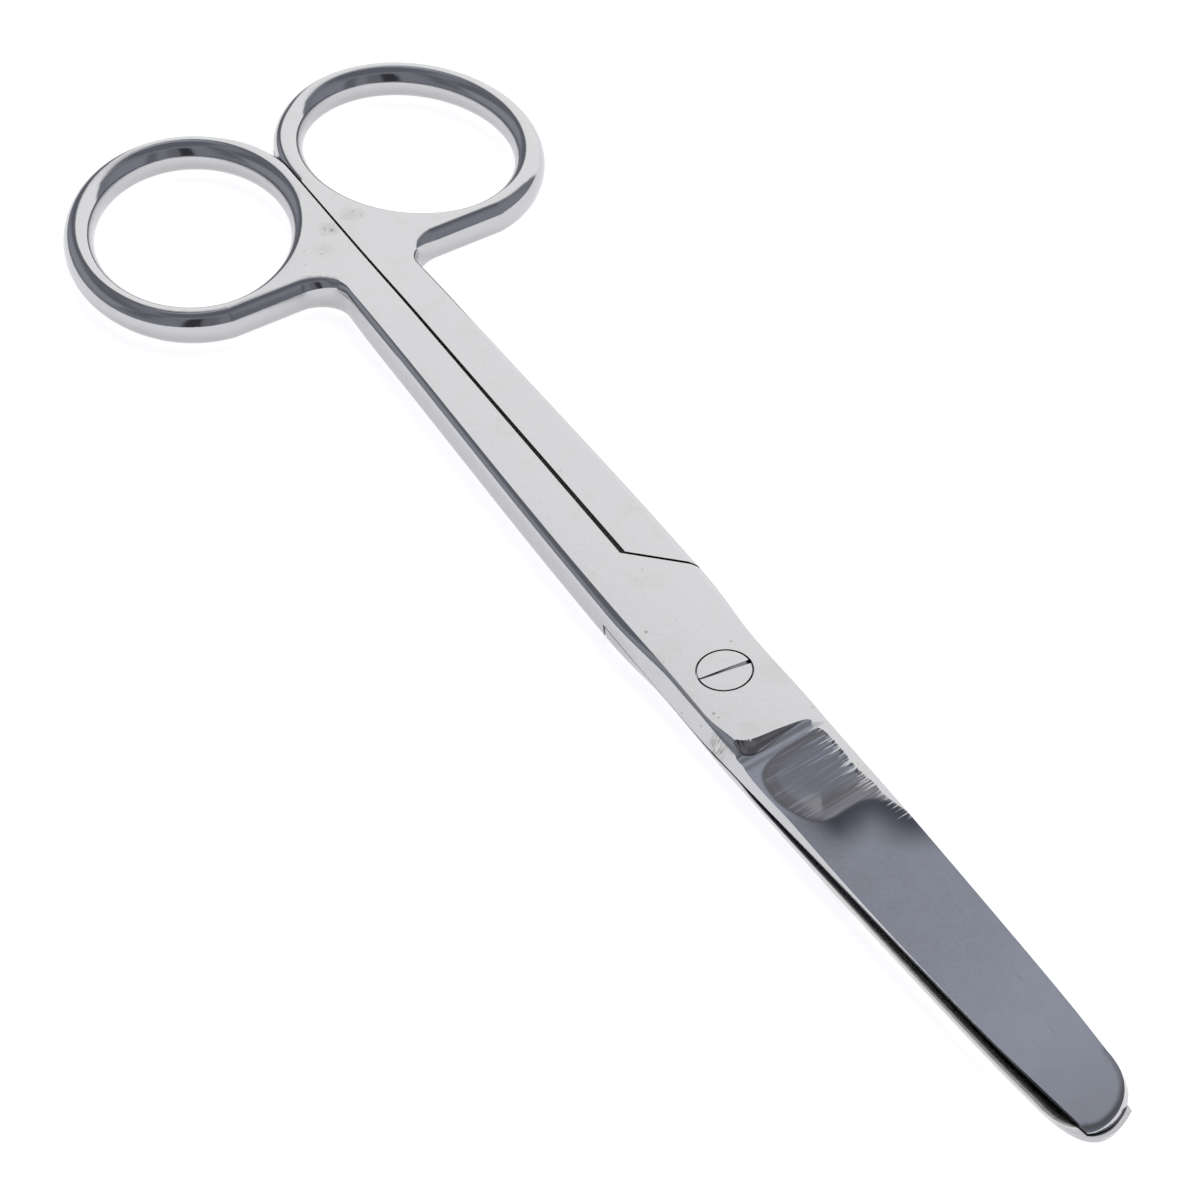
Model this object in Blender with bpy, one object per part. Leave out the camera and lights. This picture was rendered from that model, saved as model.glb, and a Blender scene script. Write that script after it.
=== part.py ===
# Straight operating scissors with blunt tips: two forged halves on a slotted pivot screw.
# Metres, +Z up. The origin is on the pivot axis, in the plane of the underside; +X runs to the tips.
# Both halves are one forging, the second turned over about the X axis, so one function makes them.

import math

import bmesh
import bpy
from mathutils import Matrix, Vector

MM = 0.001

# Whole instrument
THICKNESS = 3.8 * MM            # through both halves at the joint
HALF_T = THICKNESS / 2          # one half at the lap, and the height of the lap plane
TIP_X = 52.4 * MM               # pivot to the end of the longer tip
SLIT_AT_RING = 0.2 * MM         # gap between the closed shanks, next to the rings
SLIT_AT_JOINT = 0.45 * MM       # and where it ends at the joint
LAP_GAP = 0.2 * MM              # gap between the two lap faces

# Finger rings
RING_X = -78.5 * MM             # ring centre, along the instrument
RING_Y = 11.5 * MM              # ring centre, from the slit
RING_LONG = 13.6 * MM           # middle line of the bow, long half-axis
RING_SHORT = 10.62 * MM         # the same, short half-axis
RING_TILT = math.radians(9.4)   # long axis leans out of line with the shank
BOW_WIDTH = 2.9 * MM            # width of the bow in plan
BOW_THICKNESS = 3.4 * MM        # height of the bow
BOW_START = -66.0 * MM          # the forging is bow-thin up to here
BOW_END = -54.0 * MM            # and has its full thickness from here
SHANK_BLEND = 8.0 * MM          # the bow's round section turns into the shank's over this length
BOW_CREST = 0.1 * MM            # flat left along the top of the bow
CROTCH_TRIM = 0.45 * MM         # the bow's side leans in less, by this much, next to the slit
CROTCH_RUN = 4.0 * MM           # length over which that change is made
ROOT_TRIM = 0.35 * MM           # the same, where the bow meets the shank
ROOT_TRIM_START = 6.0 * MM      # from the ring's centre
ROOT_TRIM_RUN = 8.0 * MM
WEB_TRIM = 0.3 * MM             # the same, on the side of the hole next to the shank
WEB_RUN_X = 12.0 * MM
WEB_RUN_Y = 6.0 * MM
RING_START = math.radians(98)   # the bow's outside is followed from here, next to the slit

# Outside of the shank: pivot distance, flat top's half-width, half-width at the lap plane
SHANK_STATIONS = (
    (-61.0 * MM, 3.41 * MM, 3.95 * MM),
    (-48.0 * MM, 3.56 * MM, 4.20 * MM),
    (-24.0 * MM, 3.94 * MM, 4.68 * MM),
    (-9.0 * MM, 3.92 * MM, 4.76 * MM),
    (3.0 * MM, 3.58 * MM, 4.72 * MM),
)
SHANK_ROUNDING = 7.5            # power of the height: the shank's rounding lies near its level faces
CREST_ROUNDING = 0.12           # share of a plain round edge in it
SIDE_FLATNESS = 0.8             # of the joint's side wall: 0 is rounded, 1 leans in straight
FLATNESS_START = -11.0 * MM
FLATNESS_RUN = 9.0 * MM
SHOULDER_LEAN = 0.45 * MM       # the joint's side leans in this much more beside the shoulder
SHOULDER_RUN = 4.0 * MM
CORNER_RADIUS = 2.0 * MM        # fillet where the shank leaves the ring
CORNER_LEAN = 0.4 * MM          # the fillet leans in this much more, at its bow end
SHANK_START = -60.5 * MM        # the fillet ends on the shank here

# Blade: distance from the pivot, half-width at the lap plane of the cutting edge and of the back
BLADE_STATIONS = (
    (9.0 * MM, 4.43 * MM, 4.66 * MM),
    (20.0 * MM, 3.78 * MM, 4.62 * MM),
    (32.0 * MM, 3.10 * MM, 4.46 * MM),
    (42.0 * MM, 2.43 * MM, 4.23 * MM),
)
BACK_BEVEL = 0.75 * MM          # how far the back leans in between the lap plane and its top
EDGE_BEVEL = 0.80 * MM          # the same, on the land above the cutting edge
TIP_BACK_SETBACK = 5.6 * MM     # the back starts to turn into the tip this far before its end
TIP_BACK_Y = 3.98 * MM
TIP_EDGE_SETBACK = 1.2 * MM     # corner where the tip meets the cutting edge
TIP_EDGE_Y = 1.40 * MM
UPPER_TIP_HANDLES = ((1.10 * MM, 1.20 * MM), (4.65 * MM, 0.05 * MM))     # of the curve round the tip,
LOWER_TIP_HANDLES = ((2.85 * MM, 4.50 * MM), (2.70 * MM, -0.25 * MM))    # from the edge and the back
TIP_BEVEL = 0.45 * MM
TIP_FLATNESS = 1.0
EDGE_FADE = 8.0 * MM            # the land's lean eases off over this length before the tip
EDGE_FADE_SHARE = 0.4
BLADE_SET = 0.027               # the lower blade is set across by this slope, so the tips overlap more
BLADE_SET_START = 11.0 * MM

# Lap joint
STEP_INNER_X = -16.6 * MM       # the shoulder leaves the slit here
STEP_OUTER_X = -12.5 * MM       # and reaches the flat top's outer edge here
STEP_OUTER_Y = 3.9 * MM
STEP_GAP = 0.15 * MM            # gap at the shoulder when closed

# Ground blade face, measured up from the lap plane
SHOULDER_X = 7.7 * MM           # flat top ends here, on the middle line
SHOULDER_SLANT = 0.12           # the shoulder's lean towards the tip, per unit of width
COVE = 1.8 * MM                 # length of the concave run-out under the shoulder
FACE_SLOPE = 0.175              # rise of the ground face from edge to back
ROOT_SLOPE = 0.085              # the same, at the shoulder
SLOPE_END = 20.0 * MM           # full slope is reached here
LAND_STATIONS = (               # height of the land at the cutting edge
    (8.0 * MM, 0.95 * MM),
    (14.0 * MM, 0.72 * MM),
    (22.0 * MM, 0.46 * MM),
    (30.0 * MM, 0.30 * MM),
    (37.0 * MM, 0.26 * MM),
    (53.0 * MM, 0.24 * MM),
)
SLIVER_Y = 3.25 * MM            # the flat left along the back at the root starts here
SLIVER_END = 19.5 * MM          # and is ground away by here
RUN_OUT = 2.2 * MM              # length over which it narrows to nothing
SLIVER_RIM = 0.3 * MM           # width of the step beside it
HEEL_RISE = 0.2 * MM            # the face stands this much higher where the wheel's patch ends
HEEL_FADE = 2.6 * MM
WHEEL_X0 = 9.9 * MM             # the grinding wheel's patch: from here
WHEEL_X1 = 17.9 * MM            # to here
WHEEL_Y = -3.5 * MM             # its end nearest the cutting edge
WHEEL_DEPTH = 0.15 * MM
WHEEL_EDGE = 0.9 * MM           # width of its rounded rim

# Hollow-ground inner face
HOLLOW_START = 9.0 * MM
HOLLOW_DEPTH = 0.08 * MM
HOLLOW_RADIUS = 50.0 * MM

# Pivot screw
HEAD_RADIUS = 2.2 * MM
HEAD_DEPTH = 1.1 * MM
BODY_RADIUS = 1.5 * MM
SCREW_GAP = 0.08 * MM           # all round the head, and round the body in the upper half
THREAD_GAP = 0.01 * MM          # round the body in the lower half, which holds it
SLOT_WIDTH = 0.35 * MM
SLOT_DEPTH = 0.45 * MM
SLOT_TURN = math.radians(-6.5)  # from straight across the instrument

# Fineness of the curved surfaces
SIDE_STEPS = 5                  # strips between the lap plane and the flat top
BOW_POINTS = 56
SIDE_POINTS = 34
CORNER_POINTS = 6
TIP_POINTS = 14
ROUND_POINTS = 48
DRUM_POINTS = 200
FINE_GRID = 0.35 * MM           # spacing of the ground surface's points: at the shoulder,
ROOT_GRID = 0.9 * MM            # on the blade's root
BLADE_GRID = 2.4 * MM           # and along the rest
CROSS_GRID = 0.62 * MM          # and across
MARGIN = 1.0 * MM               # the blank reaches this far past the slit, to be cut back
BEYOND = 4 * MM                 # how far cutters reach past what they cut
WELD = 0.01 * MM
CLEAR = 0.05 * MM               # cutters stay this far above a surface they leave alone


def smooth(t):
    """0 below 0, 1 above 1, and a smooth rise between."""
    t = min(max(t, 0.0), 1.0)
    return t * t * (3 - 2 * t)


def through(stations, x, column):
    """Smooth curve through one column of a table of stations, held level past both ends."""
    xs = [row[0] for row in stations]
    ys = [row[column] for row in stations]
    if x <= xs[0]:
        return ys[0]
    if x >= xs[-1]:
        return ys[-1]
    i = max(k for k in range(len(xs) - 1) if xs[k] <= x)

    def slope(k):
        lo, hi = max(k - 1, 0), min(k + 1, len(xs) - 1)
        return (ys[hi] - ys[lo]) / (xs[hi] - xs[lo])

    span = xs[i + 1] - xs[i]
    t = (x - xs[i]) / span
    h00 = 2 * t ** 3 - 3 * t ** 2 + 1
    h10 = t ** 3 - 2 * t ** 2 + t
    return h00 * ys[i] + h10 * span * slope(i) + (1 - h00) * ys[i + 1] + (t ** 3 - t ** 2) * span * slope(i + 1)


TIP_BACK_X = TIP_X - TIP_BACK_SETBACK
TIP_EDGE_X = TIP_X - TIP_EDGE_SETBACK
BLADE = tuple(row for row in BLADE_STATIONS if row[0] < TIP_BACK_X)
EDGE_SIDE = tuple((x, y) for x, _, y in SHANK_STATIONS) + tuple((x, y) for x, y, _ in BLADE)
EDGE_SIDE = EDGE_SIDE + ((TIP_EDGE_X, TIP_EDGE_Y),)
BACK_SIDE = tuple((x, y) for x, _, y in SHANK_STATIONS) + tuple((x, y) for x, _, y in BLADE)
BACK_SIDE = BACK_SIDE + ((TIP_BACK_X, TIP_BACK_Y),)
FLAT_TOP = tuple((x, top) for x, top, _ in SHANK_STATIONS)


def side_bevel(x, bevel):
    """Lean-in of the side wall at x: the shank's own, then the blade's."""
    shank = through(EDGE_SIDE, x, 1) - through(FLAT_TOP, x, 1)
    mix = smooth((x - SHANK_STATIONS[-2][0]) / (BLADE_STATIONS[0][0] - SHANK_STATIONS[-2][0]))
    return shank * (1 - mix) + bevel * mix


# Plan outline of the upper half, whose ring and cutting edge lie at -Y.
# Each point is (x, y, lean-in of the side wall there, straightness of that wall).

def ring_point(angle, out):
    """A point of the bow: out is the distance outwards from its middle line."""
    x, y = RING_LONG * math.cos(angle), RING_SHORT * math.sin(angle)
    nx, ny = RING_SHORT * math.cos(angle), RING_LONG * math.sin(angle)
    n = math.hypot(nx, ny)
    p = Matrix.Rotation(-RING_TILT, 2) @ Vector((x + out * nx / n, y + out * ny / n))
    return RING_X + p.x, -RING_Y + p.y


def ring_outside():
    """From the slit round the far end of the bow to its outermost point beside the shank."""
    bow = BOW_WIDTH / 2
    points = []
    for k in range(BOW_POINTS + 1):
        angle = RING_START + (2 * math.pi - RING_START) * k / BOW_POINTS
        x, y = ring_point(angle, bow)
        lean = bow - BOW_CREST / 2
        lean -= CROTCH_TRIM * smooth((y + CROTCH_RUN) / CROTCH_RUN)
        lean -= ROOT_TRIM * smooth((x - RING_X - ROOT_TRIM_START) / ROOT_TRIM_RUN)
        points.append((x, y, lean, 0.0))
    last = max(range(len(points)), key=lambda k: points[k][0])
    return points[:last + 1]


def ring_corner(bow_x):
    """The straight run from the bow to the shank, ending in a fillet."""
    shank_y = -through(EDGE_SIDE, SHANK_START, 1)
    lean = side_bevel(SHANK_START, 0)
    cx, cy = bow_x + CORNER_RADIUS, shank_y - CORNER_RADIUS
    points = []
    for k in range(CORNER_POINTS + 1):
        t = k / CORNER_POINTS
        a = math.pi - math.pi / 2 * t
        x, y = cx + CORNER_RADIUS * math.cos(a), cy + CORNER_RADIUS * math.sin(a)
        points.append((x, y, lean + CORNER_LEAN * (1 - t), 0.0))
    return points


def flatness(x):
    """Straightness of the side wall: rounded on the shank, then flatter, then the blade's bevel."""
    on_joint = SIDE_FLATNESS * smooth((x - FLATNESS_START) / FLATNESS_RUN)
    return on_joint + (1 - SIDE_FLATNESS) * smooth((x - SHOULDER_X) / SHOULDER_RUN)


def edge_side(x_start):
    """Outside of the shank, side of the joint and cutting edge, from the ring to the tip."""
    points = []
    for k in range(1, SIDE_POINTS + 1):
        x = x_start + (TIP_EDGE_X - x_start) * k / SIDE_POINTS
        lean = side_bevel(x, EDGE_BEVEL)
        near = abs(x - SHOULDER_X) / SHOULDER_RUN
        lean += SHOULDER_LEAN * smooth(1 - near)
        lean *= 1 - EDGE_FADE_SHARE * smooth((x - TIP_EDGE_X + EDGE_FADE) / EDGE_FADE)
        points.append((x, -through(EDGE_SIDE, x, 1), lean, flatness(x)))
    return points


def tip_and_back(handles):
    """Round the blunt tip, then back along the blade to beyond the shoulder of the joint."""
    points = []
    corner = Vector((TIP_EDGE_X, -TIP_EDGE_Y))
    back = Vector((TIP_BACK_X, TIP_BACK_Y))
    pull_a = corner + Vector(handles[0])
    pull_b = back + Vector(handles[1])
    for k in range(1, TIP_POINTS):
        t = k / TIP_POINTS
        p = corner * (1 - t) ** 3 + pull_a * 3 * t * (1 - t) ** 2 + pull_b * 3 * t * t * (1 - t) + back * t ** 3
        lean = TIP_BEVEL + (BACK_BEVEL - TIP_BEVEL) * t
        points.append((p.x, p.y, lean, TIP_FLATNESS))
    end = STEP_INNER_X - BEYOND
    steps = SIDE_POINTS // 2
    for k in range(steps + 1):
        x = TIP_BACK_X + (end - TIP_BACK_X) * k / steps
        points.append((x, through(BACK_SIDE, x, 1), side_bevel(x, BACK_BEVEL), flatness(x)))
    return points


def set_across(x, blade_set):
    """How far the blade is set across towards its own edge, at x."""
    return blade_set * max(x - BLADE_SET_START, 0.0)


def outline(blade_set, handles):
    points = ring_outside()
    points += ring_corner(points[-1][0])
    points += edge_side(points[-1][0])
    points += tip_and_back(handles)
    end_x = points[-1][0]
    points.append((end_x - 2 * MARGIN, MARGIN, MARGIN / 2, 0.0))
    points.append((RING_X, MARGIN, MARGIN / 2, 0.0))
    return [(x, y - set_across(x, blade_set), lean, straight) for x, y, lean, straight in points]


def ring_hole():
    points = []
    for k in range(BOW_POINTS):
        angle = 2 * math.pi * k / BOW_POINTS
        x, y = ring_point(angle, -BOW_WIDTH / 2)
        web = smooth((x - RING_X) / WEB_RUN_X) * smooth((y + RING_Y + WEB_RUN_Y / 3) / WEB_RUN_Y)
        points.append((x, y, (BOW_WIDTH - BOW_CREST) / 2 - WEB_TRIM * web, 0.0))
    return points


def inward(points, clockwise):
    """Unit normals of a closed outline, pointing into the metal."""
    normals = []
    sign = -1 if clockwise else 1
    for i, p in enumerate(points):
        a, b = points[i - 1], points[(i + 1) % len(points)]
        da = Vector((p[0] - a[0], p[1] - a[1])).normalized()
        db = Vector((b[0] - p[0], b[1] - p[1])).normalized()
        d = (da + db).normalized()
        normals.append(Vector((-d.y, d.x)) * sign)
    return normals


def level_ratio(x):
    """Thickness of the forging at x, as a share of its thickness at the joint."""
    bow = BOW_THICKNESS / THICKNESS
    return bow + (1 - bow) * smooth((x - BOW_START) / (BOW_END - BOW_START))


def rounded(x, a):
    """Share of the lean reached at the angle a: a round bow, and a shank with steeper sides."""
    on_shank = (1 - CREST_ROUNDING) * smooth((x - BOW_START + SHANK_BLEND / 2) / SHANK_BLEND)
    return (1 - on_shank) * (1 - math.cos(a)) + on_shank * abs(math.sin(a)) ** SHANK_ROUNDING


def add_wall(mesh, points, clockwise):
    """Side wall of one outline, from the underside up to the flat top, as strips of faces."""
    normals = inward(points, clockwise)
    rows = []
    for k in range(-SIDE_STEPS, SIDE_STEPS + 1):
        a = math.pi / 2 * k / SIDE_STEPS
        row = []
        for (x, y, lean, straight), n in zip(points, normals):
            inset = lean * ((1 - straight) * rounded(x, a) + straight * abs(math.sin(a)))
            px, py = x + n.x * inset, y + n.y * inset
            row.append(mesh.verts.new((px, py, HALF_T + HALF_T * level_ratio(px) * math.sin(a))))
        rows.append(row)
    count = len(points)
    for low, high in zip(rows, rows[1:]):
        for i in range(count):
            j = (i + 1) % count
            mesh.faces.new((low[i], low[j], high[j], high[i]))
    return rows[0], rows[-1]


def loop_edges(mesh, row):
    return [mesh.edges.get((a, b)) for a, b in zip(row, row[1:] + row[:1])]


def forged_blank(name, blade_set, handles):
    """The whole half before it is machined: outline and ring hole, with leaning or rounded sides."""
    mesh = bmesh.new()
    outer = add_wall(mesh, outline(blade_set, handles), clockwise=False)
    inner = add_wall(mesh, ring_hole(), clockwise=True)
    for outer_row, inner_row in zip(outer, inner):
        edges = loop_edges(mesh, outer_row) + loop_edges(mesh, inner_row)
        bmesh.ops.triangle_fill(mesh, edges=edges, use_beauty=True)
    bmesh.ops.recalc_face_normals(mesh, faces=mesh.faces)
    return finish_mesh(mesh, name)


def finish_mesh(mesh, name):
    data = bpy.data.meshes.new(name)
    mesh.to_mesh(data)
    mesh.free()
    return bpy.data.objects.new(name, data)


# Cutters

def prism(name, corners, low, high):
    """An upright block on a plan polygon, as an extruded 2D curve turned into a mesh."""
    curve = bpy.data.curves.new(name, "CURVE")
    curve.dimensions = "2D"
    curve.fill_mode = "BOTH"
    curve.extrude = (high - low) / 2
    spline = curve.splines.new("POLY")
    spline.points.add(len(corners) - 1)
    for point, (x, y) in zip(spline.points, corners):
        point.co = (x, y, 0, 1)
    spline.use_cyclic_u = True
    source = bpy.data.objects.new(name + "_curve", curve)
    bpy.context.scene.collection.objects.link(source)
    source.location.z = (low + high) / 2
    bpy.context.view_layer.update()
    data = bpy.data.meshes.new_from_object(source.evaluated_get(bpy.context.evaluated_depsgraph_get()))
    data.name = name
    welded = bmesh.new()
    welded.from_mesh(data)
    bmesh.ops.remove_doubles(welded, verts=welded.verts, dist=WELD)
    bmesh.ops.recalc_face_normals(welded, faces=welded.faces)
    welded.to_mesh(data)
    welded.free()
    block = bpy.data.objects.new(name, data)
    block.matrix_world = source.matrix_world.copy()
    bpy.data.objects.remove(source)
    return block


def slit_cutter():
    """Takes away the other half's side of the slit and of the slanted shoulder."""
    far = 4 * RING_Y
    lean = (STEP_OUTER_X - STEP_INNER_X) / STEP_OUTER_Y
    corners = (
        (RING_X - 2 * RING_LONG, -SLIT_AT_RING / 2),
        (RING_X, -SLIT_AT_RING / 2),
        (STEP_INNER_X + STEP_GAP, -SLIT_AT_JOINT / 2),
        (STEP_INNER_X + STEP_GAP + lean * far, far),
        (RING_X - 2 * RING_LONG, far),
    )
    return prism("slit_cutter", corners, -BEYOND, THICKNESS + BEYOND)


def lap_cutter():
    """Halves the thickness from the shoulder on, up to the lap plane."""
    far = 4 * RING_Y
    lean = (STEP_OUTER_X - STEP_INNER_X) / STEP_OUTER_Y
    corners = (
        (STEP_INNER_X, 0),
        (STEP_INNER_X + lean * far, -far),
        (TIP_X + BEYOND, -far),
        (TIP_X + BEYOND, far),
        (STEP_INNER_X - BEYOND, far),
    )
    return prism("lap_cutter", corners, -BEYOND, HALF_T + LAP_GAP / 2)


def ground_height(x, y):
    """Height above the lap plane that grinding leaves at a point of the blade."""
    edge = -through(EDGE_SIDE, x, 1)
    mix = smooth((x - SHOULDER_X) / (SLOPE_END - SHOULDER_X))
    slope = ROOT_SLOPE + (FACE_SLOPE - ROOT_SLOPE) * mix
    face = through(LAND_STATIONS, x, 1) + slope * (y - edge)
    heel = smooth((x - SHOULDER_X) / (WHEEL_X1 - SHOULDER_X)) * math.exp(-abs(x - WHEEL_X1) / HEEL_FADE)
    face += HEEL_RISE * heel
    u = (x - WHEEL_X0) / WHEEL_EDGE
    v = (WHEEL_X1 - x) / WHEEL_EDGE
    w = (y - WHEEL_Y) / WHEEL_EDGE
    face -= WHEEL_DEPTH * smooth(u) * smooth(v) * smooth(w)
    run = min(max((x - SHOULDER_X - SHOULDER_SLANT * y) / COVE, 0.0), 1.0)
    depth = (HALF_T - min(face, HALF_T)) * math.sqrt(1 - (1 - run) ** 2)
    rail = SLIVER_Y + BEYOND * smooth((x - SLIVER_END + RUN_OUT) / RUN_OUT)
    depth *= 1 - smooth((y - rail + SLIVER_RIM) / SLIVER_RIM)
    return HALF_T - depth


def grind_cutter(name, blade_set):
    """A solid whose lower face is the ground blade surface."""
    xs = [SHOULDER_X - MARGIN]
    while xs[-1] < SHOULDER_X + COVE + MARGIN / 2:
        xs.append(xs[-1] + FINE_GRID)
    while xs[-1] < SLIVER_END + RUN_OUT:
        xs.append(xs[-1] + ROOT_GRID)
    while xs[-1] < TIP_X + MARGIN:
        xs.append(xs[-1] + BLADE_GRID)
    half = 10
    ys = [CROSS_GRID * k for k in range(-half, half + 1)]
    mesh = bmesh.new()
    low = []
    for x in xs:
        row = []
        for y in ys:
            z = ground_height(x, y)
            lift = CLEAR if z > HALF_T - CLEAR / 10 else 0.0
            row.append(mesh.verts.new((x, y - set_across(x, blade_set), HALF_T + z + lift)))
        low.append(row)
    for a, b in zip(low, low[1:]):
        for j in range(len(ys) - 1):
            mesh.faces.new((a[j], b[j], b[j + 1], a[j + 1]))
    sheet = list(mesh.faces)
    up = bmesh.ops.extrude_face_region(mesh, geom=sheet)
    for v in up["geom"]:
        if isinstance(v, bmesh.types.BMVert):
            v.co.z = THICKNESS + BEYOND
    bmesh.ops.recalc_face_normals(mesh, faces=mesh.faces)
    return finish_mesh(mesh, name)


def drum(name, radius, low, high, segments=ROUND_POINTS):
    """A cylinder standing on the pivot axis."""
    mesh = bmesh.new()
    bmesh.ops.create_cone(
        mesh, cap_ends=True, segments=segments, radius1=radius, radius2=radius, depth=high - low
    )
    bmesh.ops.translate(mesh, verts=mesh.verts, vec=(0, 0, (low + high) / 2))
    return finish_mesh(mesh, name)


def hollow_cutter():
    """A long drum lying under the blade, which hollows its inner face."""
    length = TIP_X + BEYOND - HOLLOW_START
    cutter = drum("hollow_cutter", HOLLOW_RADIUS, -length / 2, length / 2, segments=DRUM_POINTS)
    drop = HALF_T + LAP_GAP / 2 + HOLLOW_DEPTH - HOLLOW_RADIUS
    turn = Matrix.Rotation(math.pi / 2, 4, "Y")
    cutter.data.transform(Matrix.Translation((HOLLOW_START + length / 2, 0, drop)) @ turn)
    return cutter


def cut(target, cutters, collection):
    for cutter in cutters:
        if cutter.name not in collection.objects:
            collection.objects.link(cutter)
        cutter.hide_render = True
        cutter.display_type = "WIRE"
        modifier = target.modifiers.new(cutter.name, "BOOLEAN")
        modifier.operation = "DIFFERENCE"
        modifier.object = cutter
        modifier.solver = "EXACT"


def steel(name, colour, roughness):
    material = bpy.data.materials.new(name)
    material.use_nodes = True
    shader = material.node_tree.nodes["Principled BSDF"]
    shader.inputs["Base Color"].default_value = (*colour, 1)
    shader.inputs["Metallic"].default_value = 1.0
    shader.inputs["Roughness"].default_value = roughness
    return material


def pivot_screw():
    """Slotted head over a plain body that ends flush with the underside."""
    head = drum("pivot_screw", HEAD_RADIUS, THICKNESS - HEAD_DEPTH, THICKNESS)
    body = drum("screw_body", BODY_RADIUS, 0, THICKNESS - HEAD_DEPTH / 2)
    return head, body


def slot_cutter():
    long = 2 * HEAD_RADIUS + BEYOND
    mesh = bmesh.new()
    bmesh.ops.create_cube(mesh, size=1)
    bmesh.ops.scale(mesh, verts=mesh.verts, vec=(SLOT_WIDTH, long, 2 * SLOT_DEPTH))
    bmesh.ops.translate(mesh, verts=mesh.verts, vec=(0, 0, THICKNESS))
    bmesh.ops.rotate(mesh, verts=mesh.verts, cent=(0, 0, 0), matrix=Matrix.Rotation(SLOT_TURN, 3, "Z"))
    return finish_mesh(mesh, "slot_cutter")


def main():
    for thing in list(bpy.data.objects):
        bpy.data.objects.remove(thing, do_unlink=True)
    scissors = bpy.data.collections.new("blunt_tip_scissors")
    cutters = bpy.data.collections.new("cutters")
    for collection in (scissors, cutters):
        bpy.context.scene.collection.children.link(collection)

    shared = (slit_cutter(), lap_cutter(), hollow_cutter())
    upper_hole = (
        drum("head_seat", HEAD_RADIUS + SCREW_GAP, THICKNESS - HEAD_DEPTH - SCREW_GAP, THICKNESS + BEYOND),
        drum("upper_hole", BODY_RADIUS + SCREW_GAP, -BEYOND, THICKNESS + BEYOND),
    )
    lower_hole = (drum("lower_hole", BODY_RADIUS + THREAD_GAP, -BEYOND, THICKNESS + BEYOND),)

    turned_over = Matrix.Translation((0, 0, THICKNESS)) @ Matrix.Rotation(math.pi, 4, "X")

    upper = forged_blank("upper_half", 0.0, UPPER_TIP_HANDLES)
    scissors.objects.link(upper)
    cut(upper, shared + (grind_cutter("grind_cutter", 0.0),) + upper_hole, cutters)
    upper.data.materials.append(steel("upper_half_steel", (0.80, 0.80, 0.81), 0.12))

    lower = forged_blank("lower_half", BLADE_SET, LOWER_TIP_HANDLES)
    scissors.objects.link(lower)
    lower.matrix_world = turned_over
    twins = [bpy.data.objects.new(cutter.name + "_lower", cutter.data) for cutter in shared]
    for twin, cutter in zip(twins, shared):
        twin.matrix_world = turned_over @ cutter.matrix_world
    lower_grind = grind_cutter("grind_cutter_lower", BLADE_SET)
    lower_grind.matrix_world = turned_over
    cut(lower, tuple(twins) + (lower_grind,) + lower_hole, cutters)
    lower.data.materials.append(steel("lower_half_steel", (0.78, 0.78, 0.79), 0.12))

    screw, body = pivot_screw()
    scissors.objects.link(screw)
    cutters.objects.link(body)
    body.hide_render = True
    body.display_type = "WIRE"
    join = screw.modifiers.new("screw_body", "BOOLEAN")
    join.operation = "UNION"
    join.object = body
    join.solver = "EXACT"
    cut(screw, (slot_cutter(),), cutters)
    screw.data.materials.append(steel("pivot_screw_steel", (0.78, 0.78, 0.79), 0.15))
    bpy.context.view_layer.update()


main()
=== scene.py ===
# Blunt-tip scissors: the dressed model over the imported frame, and the photograph's view of it.
# Metres, +Z up. The origin is on the pivot axis, in the plane of the underside; +X runs to the tips.
# Polished steel shows every facet, so the two halves and the screw are rebuilt here, from most of the
# sizes that the part's source uses, as dense smooth meshes that also carry the marks of the grinding.

import math

import bmesh
import bpy
from mathutils import Matrix, Vector, geometry, noise


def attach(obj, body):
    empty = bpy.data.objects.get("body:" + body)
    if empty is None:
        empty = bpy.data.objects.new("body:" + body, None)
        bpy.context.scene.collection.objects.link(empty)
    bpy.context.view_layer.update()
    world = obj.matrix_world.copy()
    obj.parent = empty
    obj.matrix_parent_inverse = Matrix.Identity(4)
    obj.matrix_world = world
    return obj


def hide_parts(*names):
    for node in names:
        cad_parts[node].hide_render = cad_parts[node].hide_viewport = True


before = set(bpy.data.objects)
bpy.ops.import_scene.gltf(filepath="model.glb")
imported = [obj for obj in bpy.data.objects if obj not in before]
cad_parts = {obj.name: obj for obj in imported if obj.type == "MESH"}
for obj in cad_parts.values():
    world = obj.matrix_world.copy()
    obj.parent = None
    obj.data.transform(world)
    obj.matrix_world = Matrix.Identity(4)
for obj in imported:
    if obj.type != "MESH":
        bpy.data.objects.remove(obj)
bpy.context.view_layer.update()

MM = 0.001

# Sizes in millimetres. Most are the same as in the part's source; some differ.
THICKNESS = 3.8
HALF_T = THICKNESS / 2
TIP_X = 52.4
SLIT_AT_RING = 0.2
SLIT_AT_JOINT = 0.45
LAP_GAP = 0.1
LAP = HALF_T + LAP_GAP / 2  # height of the inner faces over the underside
RING_X = -78.5
RING_Y = 11.5
RING_LONG = 13.6
RING_SHORT = 10.62
RING_TILT = math.radians(9.4)
BOW_WIDTH = 2.9
BOW_THICKNESS = 3.4
BOW_START = -66.0
BOW_END = -54.0
BOW_CREST = 0.1
CROTCH_TRIM = 0.45
CROTCH_RUN = 4.0
ROOT_TRIM = 0.25
ROOT_TRIM_START = 6.0
ROOT_TRIM_RUN = 8.0
WEB_TRIM = 0.3
WEB_RUN_X = 12.0
WEB_RUN_Y = 6.0
RING_START = math.radians(98)
SHANK_STATIONS = (  # (x, flat top, side)
    (-61.0, 3.41, 3.95),
    (-48.0, 3.56, 4.20),
    (-24.0, 3.94, 4.68),
    (-9.0, 3.92, 4.76),
    (3.0, 3.58, 4.72),
)
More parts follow.
